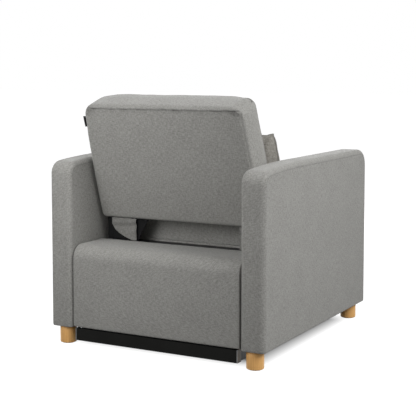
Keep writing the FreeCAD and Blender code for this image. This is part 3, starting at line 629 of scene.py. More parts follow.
def fall(share: Grid, power: float) -> Grid:
    """1 in the middle of a span and 0 at its ends: 1 - |share|^power, never below 0."""
    return np.clip(1 - np.abs(share) ** power, 0, 1)


def run_length(line: Grid) -> Grid:
    """How far along a line of points each of them lies."""
    return np.concatenate([[0.0], np.cumsum(np.linalg.norm(np.diff(line, axis=0), axis=1))])


def sine_steps(count: int) -> Grid:
    """Places from -1 to 1 that crowd towards both ends."""
    return np.sin(np.linspace(-pi / 2, pi / 2, count))


@dataclass
class Outline:
    """A closed outline in the YZ plane: its points, outward directions and edge radii."""

    points: Grid
    outward: Grid
    edge: Grid


CORNER_POINTS = 13


def rounded_outline(
    low: tuple[float, float], high: tuple[float, float], radii: tuple[float, ...],
    edges: tuple[float, ...], step: float,
) -> Outline:
    """A rectangle with rounded corners, from the middle of its bottom round to the same place.

    Each corner is a quarter circle: centre + radius * (cos turn, sin turn).

    Args:
        low: lowest (y, z).
        high: highest (y, z).
        radii: of the corners bottom rear, top rear, top front and bottom front.
        edges: edge radius along the bottom, rear, top and front.
        step: the spacing of points along the straight runs.

    Returns:
        The outline.
    """
    corners = [(high[0], low[1]), (high[0], high[1]), (low[0], high[1]), (low[0], low[1])]
    inward = [(-1, 1), (-1, -1), (1, -1), (1, 1)]
    middle = np.array([(low[0] + high[0]) / 2, low[1]])
    points, outward, edge = [middle[None]], [np.array([[0.0, -1.0]])], [np.array([edges[0]])]
    share = np.linspace(0, 1, CORNER_POINTS)
    last = middle
    for i, corner in enumerate(corners):
        centre = np.array(corner) + np.array(inward[i]) * radii[i]
        turns = np.radians(90.0 * (i - 1 + share))
        away = np.stack([np.cos(turns), np.sin(turns)], 1)
        bend = centre + away * radii[i]
        count = max(2, int(np.linalg.norm(bend[0] - last) / step))
        run = last + (bend[0] - last) * np.linspace(0, 1, count, endpoint=False)[1:, None]
        points += [run, bend]
        outward += [np.repeat(away[:1], len(run), 0), away]
        follow = edges[(i + 1) % 4]
        edge += [np.full(len(run), edges[i]), edges[i] + (follow - edges[i]) * share]
        last = bend[-1]
    count = max(2, int(np.linalg.norm(middle - last) / step))
    points.append(last + (middle - last) * np.linspace(0, 1, count + 1)[1:, None])
    outward.append(np.repeat([[0.0, -1.0]], count, 0))
    edge.append(np.full(count, edges[0]))
    return Outline(np.concatenate(points), np.concatenate(outward), np.concatenate(edge))


@dataclass
class Slab:
    """An upholstered slab: an outline in the YZ plane carried across X, with rounded edges and
    sides that fill in towards a spine, given as its front, rear and height.

    Round the edge, x and the inset from the outline follow a quarter circle of the edge's
    radius. Over the side a point goes straight from the edge to the nearest point of the spine.
    What would lie below the cut is pressed flat on it.
    """

    outline: Outline
    x_range: tuple[float, float]
    spine: Place
    across: int = 14
    edge_steps: int = 6
    side_steps: int = 12
    cut: float = -1.0
    near: tuple[float, ...] = (0.0015, 0.003, 0.005, 0.0075, 0.011, 0.016, 0.023)

    def side(self, sign: int) -> Grid:
        """One side, from the spine out to the band.

        Args:
            sign: 1 for the side at the greater x, -1 for the other.

        Returns:
            The points, rows by columns by three.
        """
        x = self.x_range[1] if sign > 0 else self.x_range[0]
        ring, out, radius = self.outline.points, self.outline.outward, self.outline.edge
        rim = ring - out * radius[:, None]
        front, rear, height = self.spine
        target = np.stack([np.clip(rim[:, 0], front, rear), np.full(len(rim), height)], 1)
        reach = target - rim
        size = np.linalg.norm(reach, axis=1, keepdims=True)
        way = reach / np.maximum(size, TINY)
        last = self.near[-1]
        shares = np.linspace(0, 1, self.side_steps + 1)[1:]
        distances = [*self.near, *(last + (size - last) * share for share in shares)]
        flat = np.stack([rim + way * distance for distance in distances[::-1]])
        turns = np.radians(np.linspace(90, 0, self.edge_steps + 1))[:, None]
        edge = ring[None] - out[None] * (radius * (1 - np.cos(turns)))[..., None]
        edge_x = x - sign * radius * (1 - np.sin(turns))
        every_x = np.concatenate([np.full(flat.shape[:2], x), edge_x])
        return np.concatenate([every_x[..., None], np.concatenate([flat, edge])], -1)

    def skin(self) -> tuple[Skin, Grid]:
        """The whole slab.

        Returns:
            The skin, and for each of its points the distance over the cloth from the line
            where the rounded edge meets the side, in metres and positive on the side.
        """
        low, high = self.side(-1), self.side(1)
        shares = np.linspace(0, 1, self.across + 2)[1:-1, None]
        band = np.repeat(low[-1][None], self.across, 0)
        band[..., 0] = low[-1, :, 0] + (high[-1, :, 0] - low[-1, :, 0]) * shares
        points = np.concatenate([low, band, high[::-1]])
        rows, columns = points.shape[:2]
        steps = np.linalg.norm(np.diff(points, axis=0), axis=-1)
        along = np.concatenate([np.zeros((1, columns)), np.cumsum(steps, 0)])
        start = self.side_steps + len(self.near) - 1
        end = rows - 1 - start
        first_half = np.arange(rows)[:, None] < rows // 2
        distance = np.where(first_half, along[start] - along, along - along[end])
        length = np.repeat(run_length(self.outline.points)[None], rows, 0)
        row = np.arange(rows - 1)
        on_side = np.repeat((row < start) | (row >= end), columns - 1)
        flat_map, band_map = grid_cloth(points[..., 1], points[..., 2]), grid_cloth(length, along)
        cloth = np.where(on_side[:, None, None], flat_map, band_map)
        points[..., 2] = np.maximum(points[..., 2], self.cut)
        return Skin(points.reshape(-1, 3), grid_faces(rows, columns), cloth), distance.ravel()


def stations(half: float, radius: float, step: float, fine: float = 0.003, margin: float = 0.03) -> Grid:
    """Places along one axis of a rounded block: even turns round its edges, fine steps beside
    them and wider ones in the middle.

    Args:
        half: half the block's length.
        radius: of its edges.
        step: the wider steps.
        fine: the fine steps.
        margin: how far the fine steps reach in from the edges.

    Returns:
        The places, from -half to half.
    """
    turns = np.tan(np.radians(np.linspace(0, 45, 6)))
    inner = half - radius
    margin = min(margin, inner * 0.6)
    beside = np.linspace(inner - margin, inner, max(2, int(margin / fine)) + 1)[:-1]
    middle = np.linspace(0, inner - margin, max(2, int((inner - margin) / step)) + 1)[:-1]
    upper = np.concatenate([middle, beside, inner + radius * turns])
    return np.concatenate([-upper[:0:-1], upper])


@dataclass
class Block:
    """A block with rounded edges: every point of a box's surface is drawn in to the nearest
    point of the smaller inner box and pushed out again by the radius. A corner wider than the
    radius rounds the upper corners of its XZ outline.
    """

    half: Place
    radius: float
    step: float = 0.009
    corner: float = 0.0

    def skin(self) -> tuple[Skin, Grid]:
        """The block about the origin.

        Returns:
            The skin, and for each of its points the point of the plain box that it came from.
        """
        lines = [stations(half, self.radius, self.step) for half in self.half]
        points, faces, cloth = [], [], []
        count = 0
        for axis in range(3):
            first, second = (axis + 1) % 3, (axis + 2) % 3
            for sign in (-1, 1):
                a, b = np.meshgrid(lines[first], lines[second], indexing="ij")
                grid = np.empty((*a.shape, 3))
                grid[..., first], grid[..., second] = a, b
                grid[..., axis] = sign * self.half[axis]
                faces.append(grid_faces(*a.shape)[:, ::sign] + count)
                pair = (b, a) if axis == 1 else (a, b)
                cloth.append(grid_cloth(*pair)[:, ::sign])
                points.append(grid.reshape(-1, 3))
                count += a.size
        plain = np.concatenate(points)
        shaped, core = self.bent(plain)
        away = shaped - core
        away /= np.linalg.norm(away, axis=1, keepdims=True)
        return Skin(core + away * self.radius, np.concatenate(faces), np.concatenate(cloth)), plain

    def bent(self, plain: Grid) -> tuple[Grid, Grid]:
        """Round the upper corners. In each corner's square, squares about its inner corner
        become circles of the same size.

        Args:
            plain: points of the plain box.

        Returns:
            The points moved, and their nearest points of the inner box.
        """
        inner = np.array(self.half) - self.radius
        shaped = plain.copy()
        if self.corner <= self.radius:
            return shaped, np.clip(plain, -inner, inner)
        ends = np.array([self.half[0], self.half[2]]) - self.corner
        square = np.maximum(np.abs(plain[:, ::2]) - ends, 0.0)
        circle = square * (square.max(1) / np.maximum(np.hypot(*square.T), TINY))[:, None]
        inside = ((square.min(1) > 0) & (plain[:, 2] > 0))[:, None]
        shaped[:, ::2] = np.where(inside, np.sign(plain[:, ::2]) * (ends + circle), plain[:, ::2])
        core = np.clip(shaped, -inner, inner)
        reach = np.maximum(np.abs(shaped[:, ::2]) - ends, 0.0)
        share = np.minimum(1.0, (self.corner - self.radius) / np.maximum(np.hypot(*reach.T), TINY))
        inside = ((reach.min(1) > 0) & (shaped[:, 2] > 0))[:, None]
        bend = np.sign(shaped[:, ::2]) * (ends + reach * share[:, None])
        core[:, ::2] = np.where(inside, bend, core[:, ::2])
        return shaped, core


@dataclass(frozen=True)
class Filling:
    """Air pressure that fills a sewn cover, as a short cloth simulation on the cover's own mesh."""

    pressure: float = 3.0
    frames: int = 20
    cap: float = 0.012
    stiffness: float = 15.0
    bending: float = 0.6
    quality: int = 6

    def puff(self, piece: bpy.types.Object) -> None:
        """Fill the cover: each point moves with the cloth, but no further than the cap, by
        cap * tanh(move / cap).

        Args:
            piece: the cover.
        """
        scene = bpy.context.scene
        mesh = piece.data
        before = np.empty(len(mesh.vertices) * 3, np.float32)
        mesh.vertices.foreach_get("co", before)
        cloth = piece.modifiers.new("filling", "CLOTH")
        cloth.point_cache.frame_start = 1
        cloth.point_cache.frame_end = self.frames
        cloth.settings.effector_weights.gravity = 0.0
        cloth.settings.use_pressure = True
        cloth.settings.uniform_pressure_force = self.pressure
        cloth.settings.tension_stiffness = self.stiffness
        cloth.settings.compression_stiffness = self.stiffness
        cloth.settings.bending_stiffness = self.bending
        cloth.settings.quality = self.quality
        for frame_number in range(1, self.frames + 1):
            scene.frame_set(frame_number)
        filled = piece.evaluated_get(bpy.context.evaluated_depsgraph_get()).data
        after = np.empty_like(before)
        filled.vertices.foreach_get("co", after)
        piece.modifiers.remove(cloth)
        scene.frame_set(1)
        before, after = before.reshape(-1, 3), after.reshape(-1, 3)
        move = after - before
        size = np.linalg.norm(move, axis=1, keepdims=True)
        move *= self.cap * np.tanh(size / self.cap) / np.maximum(size, TINY)
        mesh.vertices.foreach_set("co", (before + move).ravel())
        mesh.update()
        log.info("%s: filled, the cloth moved up to %.1f mm", piece.name, float(size.max()) * 1000)


# The chair


@dataclass
class Assembly:
    """What every sub-assembly has: the finishes that it is dressed from."""

    wardrobe: Wardrobe


@dataclass
class Arm(Assembly):
    """A boxy arm: a taut cover with a band between two side panels, sewn along their edges. Its
    top falls a little towards the rear, with the square of the way.
    """

    side: Side
    rear_corner: float = 0.042
    front_corner: float = 0.060
    edge: float = 0.016
    turn_under: float = 0.010
    rear_fall: float = 0.0145
    fall_from: float = 0.30
    fall_above: float = 0.30
    groove: float = 0.0009
    groove_width: float = 0.0014
    slack: float = 0.0012
    spine_end: float = 0.3

    def build(self) -> None:
        """Make the cover."""
        low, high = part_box(f"arm_cover_{self.side.tag}")
        foot = self.edge + 0.001
        radii = (foot, self.rear_corner, self.front_corner, foot)
        start = (low.y, low.z - self.turn_under)
        outline = rounded_outline(start, (high.y, high.z), radii, (self.edge,) * 4, 0.011)
        spine = (low.y + self.spine_end, high.y - self.spine_end, (low.z + high.z) / 2)
        skin, distance = Slab(outline, (low.x, high.x), spine, cut=low.z).skin()
        points = skin.points
        above = ease(points[:, 2], low.z + 0.02, low.z + 0.12)
        line = bell(distance, self.groove_width) * ease(points[:, 2], high.z - 0.16, high.z - 0.05)
        gather = ripple(points[:, 1:], 0.035, 11) * bell(distance - 0.009, 0.009) * self.slack * 0.8
        slack = ripple(points, 0.23, 5 + self.side.value) * self.slack * above
        outward = np.where(points[:, 0] > (low.x + high.x) / 2, 1.0, -1.0)
        outward *= ease(np.abs(distance) + distance, -0.001, 0.02)
        points[:, 0] += outward * (slack + gather - self.groove * line * 0.6)
        away = points[:, 1:] - np.array([(low.y + high.y) / 2, (low.z + high.z) / 2])
        away /= np.maximum(np.linalg.norm(away, axis=1, keepdims=True), TINY)
        points[:, 1:] -= away * (self.groove * line)[:, None]
        rear = np.clip((points[:, 1] - high.y + self.fall_from) / self.fall_from, 0, 1)
        height = np.clip((points[:, 2] - self.fall_above) / (high.z - self.fall_above), 0, 1)
        points[:, 2] -= self.rear_fall * rear ** 2 * height
        skin.seam = line * 0.5
        piece = skin.place(f"arm_{self.side.tag}", "frame", Slot.UPHOLSTERY, self.wardrobe)
        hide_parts(f"arm_cover_{self.side.tag}")


@dataclass
class RearBox(Assembly):
    """The covered box behind the seat, smooth over its large rear edge, with the cloth pulled
    down to the floor side.
    """

    foot_edge: float = 0.006
    rear_edge: float = 0.045
    front_edge: float = 0.008
    side_edge: float = 0.003
    spine_end: float = 0.07
    slack: float = 0.0015

    def build(self) -> None:
        """Make the cover."""
        low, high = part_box("rear_box_cover")
        radii = (self.foot_edge, self.rear_edge, self.front_edge, self.side_edge)
        outline = rounded_outline((low.y, low.z), (high.y, high.z), radii, (self.side_edge,) * 4, 0.009)
        spine = (low.y + self.spine_end, high.y - self.spine_end, (low.z + high.z) / 2)
        skin, distance = Slab(outline, (low.x, high.x), spine, across=70).skin()
        points = skin.points
        rear = ease(points[:, 1], high.y - 0.03, high.y)
        inside = 1 - (np.abs(points[:, 0]) / high.x) ** 8
        points[:, 1] += rear * inside * (ripple(points, 0.2, 31) * self.slack + self.slack)
        skin.seam = bell(distance - 0.001, 0.003) * 0.3
        piece = skin.place("rear_box", "frame", Slot.UPHOLSTERY, self.wardrobe)
        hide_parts("rear_box_cover")


@dataclass
class SeatPad(Assembly):
    """A boxed seat or bed pad: a crown on top, sides that pull in, and a seam round its top."""

    node: str
    name: str
    body: str
    slot: Slot
    crown: float
    front: float
    rear: float
    edge: float = 0.016
    seam_drop: float = 0.012
    seam_width: float = 0.002
    pull_in: float = 0.0025

    def build(self) -> None:
        """Make the pad inside its node's box."""
        low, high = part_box(self.node)
        flat_top = high.z - self.crown
        radii = (0.003, self.rear, self.front, 0.003)
        edges = (0.003, 0.004, self.edge, self.edge)
        outline = rounded_outline((low.y, low.z), (high.y, flat_top), radii, edges, 0.009)
        spine = (low.y + 0.06, high.y - 0.06, (low.z + flat_top) / 2)
        skin, _ = Slab(outline, (low.x, high.x), spine, across=60).skin()
        points = skin.points
        x, y, z = points.T
        u = np.clip(np.abs(x) / high.x, 0, 1)
        v = np.clip(np.abs(y - (low.y + high.y) / 2) / ((high.y - low.y) / 2), 0, 1)
        up = ease(z, flat_top - self.front, flat_top)
        swell = (1 - u ** 3) * (1 - v ** 3)
        loose = ripple(points[:, :2], 0.19, 41) * 0.0012 + ripple(points[:, :2], 0.05, 42) * 0.0005
        points[:, 2] += up * (self.crown * swell + loose * swell ** 0.5)
        middle = fall((z - (low.z + flat_top) / 2) / ((flat_top - low.z) / 2), 2)
        points[:, 0] -= np.sign(x) * ease(u, 0.9, 1.0) * middle * self.pull_in
        above = z - (flat_top - self.seam_drop)
        line = bell(above, self.seam_width) * ease(u, 0.93, 0.98)
        at_front = ease(-y, -low.y - 0.02, -low.y - 0.004)
        line += bell(z - (flat_top - self.front), self.seam_width) * at_front
        gather = ripple(points[:, :2], 0.03, 43) * bell(above, 0.01)
        points[:, 0] -= np.sign(x) * (line * 0.0012 + gather * 0.0008 * ease(u, 0.9, 1.0))
        skin.seam = np.clip(line, 0, 1)
        piece = skin.place(self.name, self.body, self.slot, self.wardrobe)
        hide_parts(self.node)


@dataclass(frozen=True)
class Lean:
    """The back's own frame: X across, the rear face at Y = 0, Z up the rear face."""

    foot_y: float = 0.264
    foot_z: float = 0.413
    tilt: float = 18.4

    def place(self, points: Grid) -> Grid:
        """Turn points by the tilt about X and carry them to the back's foot.

        Args:
            points: in the back's own frame.

        Returns:
            The points in the chair's frame.
        """
        turn = radians(self.tilt)
        y = points[:, 1] * cos(turn) + points[:, 2] * sin(turn)
        z = -points[:, 1] * sin(turn) + points[:, 2] * cos(turn)
        return np.stack([points[:, 0], self.foot_y + y, self.foot_z + z], 1)


@dataclass
class Back(Assembly):
    """The folding back: a boxed cushion whose rear panel is sewn in a little below its edges,
    with puckers along the seam, and a full crown in front.
    """

    lean: Lean = Lean()
    half_width: float = 0.306
    thickness: float = 0.124
    length: float = 0.415
    narrowing: float = 0.011
    top_corner: float = 0.04
    edge: float = 0.014
    front_crown: float = 0.034
    rear_crown: float = 0.004
    side_crown: float = 0.004
    front_inset: float = 0.012
    seam_down: float = 0.013
    seam_in: float = 0.005
    seam_corner: float = 0.009
    seam_width: float = 0.002

    def build(self) -> None:
        """Make the cushion: crowns first, then the sewn panel, then the cloth's slack."""
        half = (self.half_width, self.thickness / 2, self.length / 2)
        skin, plain = Block(half, self.edge, 0.0075, corner=self.top_corner).skin()
        x, y, z = skin.points.T
        u, depth, v = (plain / np.array(half)).T
        front, rear, top = (
            ease(sign * plain[:, axis], half[axis] - self.edge, half[axis])
            for sign, axis in ((-1, 1), (1, 1), (1, 2))
        )
        side = ease(np.abs(plain[:, 0]), half[0] - self.edge, half[0])
        fore = np.clip(-depth, 0, 1) ** 2
        body = fall(u, 3) * fall(v, 4)
        y = y - front * self.front_crown * fall(u, 3) * fall(v, 2.4) ** 0.8
        y = y + rear * self.rear_crown * body
        z = z + top * self.side_crown * fall(u, 4) * fall(depth, 2)
        x = x * (1 - self.narrowing / half[0] * np.clip(v, 0, 1))
        x = x + np.sign(x) * side * (self.side_crown * fall(depth, 2) - self.front_inset * fore)
        z = z - top * fore * (0.004 + 0.014 * ease(np.abs(u), 0.72, 1.0))
        seam = self.rear_seam(x, z + 0.0012 * ripple(np.stack([x, 0 * x], 1), 0.05, 77), half)
        line = bell(seam, self.seam_width) * rear
        along = np.stack([x, z], 1)
        pucker = ripple(along, 0.042, 71) * 0.6 + ripple(along, 0.018, 72) * 0.4
        below = bell(seam + 0.007, 0.0075) * rear
        upper = ease(z, half[2] - 0.05, half[2] - 0.02)
        corner = bell(np.hypot(np.abs(x) - half[0] + 0.03, z - half[2] + 0.026), 0.016) * rear
        y = y - line * (0.001 + 0.0014 * upper) - below * upper * (0.0012 + 0.002 * pucker)
        y = y - corner * (0.0035 + 0.0025 * ripple(along, 0.012, 76))
        y = y + rear * body * ripple(along, 0.16, 73) * 0.0011
        points = np.stack([x, y, z], 1)
        loose = ripple(points, 0.12, 74) * 0.0011 + ripple(points, 0.045, 75) * 0.0005
        points[:, 2] += top * loose
        points[:, 0] += np.sign(x) * side * loose
        points[:, 1] -= front * loose * 1.6
        # The rear and front seams are darkened as stitched lines. The dips just below the rear seam and the
        # dented top corners get painted shade, where shade falls in them.
        dark = line * (0.4 + upper * (0.4 + 0.7 * pucker))
        dark += below * upper * (0.12 + 0.4 * np.maximum(pucker, 0)) + corner * 0.35
        dark += bell(plain[:, 1] + half[1] - self.edge, self.seam_width) * 0.12
        skin.seam = np.clip(dark, 0, 1)
        skin.points = self.lean.place(points + np.array([0.0, -half[1], half[2]]))
        piece = skin.place("back_cushion_cover", "back", Slot.UPHOLSTERY, self.wardrobe)
        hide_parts("back_cushion")

    def rear_seam(self, x: Grid, z: Grid, half: Place) -> Grid:
        """The distance from the rear panel's seam, a rounded rectangle open at the bottom.

        Args:
            x: across the cushion, from its middle.
            z: up the cushion, from its middle.
            half: half the cushion's size.

        Returns:
            The distance, negative on the panel.
        """
        width = half[0] - self.narrowing * np.clip(z / half[2], 0, 1) - self.seam_in
        across = np.abs(x) - (width - self.seam_corner)
        up = z - (half[2] - self.seam_down - self.seam_corner)
        outer = np.hypot(np.maximum(across, 0), np.maximum(up, 0))
        return outer + np.minimum(np.maximum(across, up), 0) - self.seam_corner


@dataclass
class Pillow(Assembly):
    """A loose pillow with a knife edge: two crowned sheets sewn round their border, its top
    edge drawn down between the corners.
    """

    lean: Lean = Lean()
    filling: Filling = Filling()
    half_width: float = 0.302
    height: float = 0.270
    low: float = -0.0229
    middle: float = -0.2175
    thickness: float = 0.118
    edge: float = 0.003
    draw: float = 0.004
    points: tuple[int, int] = (81, 45)

    def build(self) -> None:
        """Make the pillow."""
        u, v = np.meshgrid(*(sine_steps(count) for count in self.points), indexing="ij")
        front, back = (self.sheet(u, v, sign) for sign in (1, -1))
        seam = bell(1 - np.maximum(np.abs(u), np.abs(v)), 0.006)
        skin = doubled(front, back, grid_cloth(u * self.half_width, v * self.height / 2), seam)
        skin.points = self.lean.place(skin.points)
        piece = skin.place("pillow_cover", "pillow", Slot.PILLOW, self.wardrobe)
        self.filling.puff(piece)
        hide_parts("pillow")

    def sheet(self, u: Grid, v: Grid, sign: int) -> Grid:
        """One face: thickness falls to the border as the root of (1 - u^4)(1 - v^2.6), with
        short folds that run in from the seam.

        Args:
            u: across the pillow, from -1 to 1.
            v: up the pillow, from -1 to 1.
            sign: 1 for the rear face, -1 for the front one.

        Returns:
            The points in the back's own frame.
        """
        body = (fall(u, 4) * fall(v, 2.6)) ** 0.5
        rim = 1 - body
        place = np.stack([u * self.half_width, v * self.height / 2], -1)
        folds = ripple(place * np.array([1.0, 0.35]), 0.035, 81 + sign) * rim * body * 0.012
        waves = ripple(place, 0.13, 85 + sign) * body * 0.003
        thick = body * (self.thickness / 2 - self.edge) + folds + waves + 0.0004 * (1 - rim)
        x = u * self.half_width * (1 - 0.012 * bell(v - 0.95, 0.12) + 0.006 * (1 - v ** 2))
        dip = self.draw * (1 - u ** 2) * np.clip(v, 0, 1) ** 3
        return np.stack([x, self.middle + sign * thick, self.low + self.height * (v + 1) / 2 - dip], -1)


@dataclass
class HingeFlap(Assembly):
    """The cloth flap that hangs from the back's foot over a hinge: a square top corner, an
    upright inner edge, and an outer edge that curves in to the bottom. Its cloth is darkened
    all over, and more along its inner edge and its foot, as painted shade. The right flap is
    tucked in behind its arm, and the left one has a black sheet behind it, which reaches past
    its outer edge as painted shade.
    """

    side: Side
    hang: float = 0.2545
    depth: float = 0.0045
    cloth: float = 0.0016
    lift: float = 0.0006
    tucked: float = 0.052
    straight: float = 0.2
    narrowing: float = 0.85
    wedge: float = 0.037
    lining_gap: float = 0.0055
    lining_reach: float = 0.022

    def span(self) -> tuple[float, float, float, float]:
        """The flap's inner and outer distance from the middle of the chair, top and bottom."""
        low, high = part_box(f"hinge_flap_{self.side.tag}")
        return *sorted((abs(low.x), abs(high.x))), high.z, low.z + self.lift

    def build(self) -> None:
        """Make the flap."""
        inner, outer, top, bottom = self.span()
        if self.side is Side.RIGHT:
            inner += self.tucked
        s, t = np.meshgrid(np.linspace(0, 1, 33), np.linspace(0, 1, 29), indexing="ij")
        drop = np.clip((t - self.straight) / (1 - self.straight), 0, 1)
        width = (outer - inner) * (1 - self.narrowing * drop ** 2.3)
        x = inner + width * s
        z = top + (bottom - top) * t * (1 - 0.04 * s * (1 - t))
        rise = t - 0.1 * s
        fold = bell(rise - 0.14, 0.085) * self.depth * 0.9
        fold -= bell(rise - 0.33, 0.07) * self.depth * 0.8 * (0.3 + 0.7 * s)
        fold += bell(rise - 0.55 - 0.2 * s, 0.11) * self.depth * 0.45
        fold *= 1 - 0.5 * ease(s, 0.75, 1.0)
        y = self.hang + fold * ease(t, 0.0, 0.1)
        front, back = (np.stack([x * self.side.value, y + lift, z], -1) for lift in (0.0, self.cloth))
        # Painted shade: the flap's cloth is darkened all over, and more along its inner edge and its foot.
        shade = np.maximum(bell(s - 0.05, 0.02), bell(t - 0.96, 0.02)) * 0.3 + 0.42
        skin = doubled(front, back, grid_cloth(x, z), shade, walled=True)
        piece = skin.place(f"flap_{self.side.tag}", "frame", Slot.UPHOLSTERY, self.wardrobe)
        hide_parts(f"hinge_flap_{self.side.tag}")
        if self.side is Side.LEFT:
            self.lining()
        area = float(np.trapz(width[0], -z[0]))
        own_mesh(piece)

    def lining(self) -> None:
        """A black sheet behind the flap, whose inner edge runs in slantwise from the top as a dark wedge
        beside the flap; where it reaches past the flap's outer edge, it is painted shade.
        """
        inner, outer, top, bottom = self.span()
        s, t = np.meshgrid(np.linspace(0, 1, 33), np.linspace(0, 1, 25), indexing="ij")
        first = inner - 0.003 - self.wedge * (1 - t) ** 1.1
        # The sheet runs on past the flap's outer edge by the reach, as painted shade.
        x = first + (outer + self.lining_reach - first) * s
        z = top - 0.002 + (bottom - top) * t * 0.97
        y = self.hang - self.lining_gap - 0.010 * bell(s, 0.2) * (1 - t)
        y += 0.0008 * np.sin(9 * s + 4 * t)
        front, back = (np.stack([x, y - lift, z], -1) for lift in (0.0, 0.0012))
        skin = doubled(front, back, grid_cloth(x, z), walled=True)
        piece = skin.place("flap_lining", "frame", Slot.WEBBING, self.wardrobe)
        width = outer + self.lining_reach + 0.003 - inner + self.wedge
        area = (width - 0.52 * self.wedge) * (top - bottom) * 0.97
        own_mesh(piece)


@dataclass
class Turned:
    """A turned piece: a profile of (radius, height) spun about an axis."""

    profile: tuple[tuple[float, float], ...]
    sides: int = 64

    def skin(self, centre: Vector, upright: bool = True) -> Skin:
        """Spin the profile: (r cos a, r sin a, h).

        Args:
            centre: the place of the profile's origin.
            upright: whether it spins about Z, as a leg does, or about X, as a wheel does.

        Returns:
            The skin.
        """
        turns = np.linspace(0, 2 * pi, self.sides + 1)
        radius, height = np.array(self.profile).T
        r, a = np.meshgrid(radius, turns, indexing="ij")
        h = np.repeat(height[:, None], self.sides + 1, 1)
        flat = [r * np.cos(a), r * np.sin(a)]
        grid = np.stack([*flat, h] if upright else [h, *flat], -1)
        grid[:, -1] = grid[:, 0]
        run = run_length(np.array(self.profile))
        cloth = grid_cloth(a * radius.max(), np.repeat(run[:, None], self.sides + 1, 1))
        return Skin(grid.reshape(-1, 3) + np.array(centre), grid_faces(*r.shape), cloth)


@dataclass
class Leg(Assembly):
    """A turned leg with a softened foot and a felt glide under it."""

    node: str
    soften: float = 0.003
    glide: float = 0.0015
    glide_inset: float = 0.005
    glide_edge: float = 0.0006
    head_edge: float = 0.001

    def build(self) -> None:
        """Make the leg and its glide."""
        low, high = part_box(self.node)
        foot = Vector(((low.x + high.x) / 2, (low.y + high.y) / 2, low.z))
        radius, head = (high.x - low.x) / 2, high.z - low.z
        turns = np.radians(np.linspace(-90, 0, 7))
        start = radius - self.soften, self.glide + self.soften
        rounding = [(start[0] + self.soften * cos(a), start[1] + self.soften * sin(a)) for a in turns]
        shaft = [(radius * 1.004, head * 0.55), (radius, head - self.head_edge)]
        top = [(radius - self.head_edge, head), (0.0, head)]
        leg = Turned(((0.0, self.glide), *rounding, *shaft, *top)).skin(foot)
        name = self.node.replace("leg", "leg_turned")
        piece = leg.place(name, "frame", Slot.LEG, self.wardrobe)
        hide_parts(self.node)
        pad = radius - self.glide_inset
        border = (pad - self.glide_edge, 0.0), (pad, self.glide_edge), (pad, self.glide)
        felt = Turned(((0.0, 0.0), *border, (0.0, self.glide))).skin(foot)
        felt.place(self.node.replace("leg", "glide"), "frame", Slot.BUMPER, self.wardrobe)


@dataclass
class Wheel(Assembly):
    """A castor wheel: a rounded rubber tread on a dished disc."""

    node: str
    tread: float = 0.0045
    tread_edge: float = 0.003
    bore: float = 0.0041
    hub: float = 0.0075
    dish: float = 0.0045
    slope: float = 0.001
    rim: float = 0.0014
    rim_gap: float = 0.0006
    rim_edge: float = 0.0008
    sides: int = 56

    def build(self) -> None:
        """Make the tread and the disc."""
        low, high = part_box(self.node)
        centre = (low + high) / 2
        radius, half = (high.z - low.z) / 2, (high.x - low.x) / 2
        inner = radius - self.tread
        name = self.node.replace("wheel", "castor")
        turns = np.radians(np.linspace(0, 90, 6))
        edge, across, out = self.tread_edge, radius - self.tread_edge, half - self.tread_edge
        right = [(across + edge * sin(a), out + edge * cos(a)) for a in turns]
        tread = self.mirrored([(inner, half), *right])
        tread = Turned((*tread, tread[0]), self.sides).skin(centre, False)
        tread.place(f"{name}_tread", self.node, Slot.WHEEL, self.wardrobe)
        seat = inner - self.rim_gap
        hub = (self.bore, half), (self.hub, half), (self.hub + self.slope, half - self.dish)
        rim = (seat - self.rim, half - self.dish), (seat, half - self.rim_edge)
        disc = self.mirrored([*hub, *rim])
        disc = Turned((*disc, disc[0]), self.sides).skin(centre, False)
        piece = disc.place(f"{name}_disc", self.node, Slot.BLACK_STEEL, self.wardrobe)
        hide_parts(self.node)

    def mirrored(self, half: list[tuple[float, float]]) -> list[tuple[float, float]]:
        """Half a profile, followed back along its mirror image."""
        return half + [(radius, -height) for radius, height in reversed(half)]


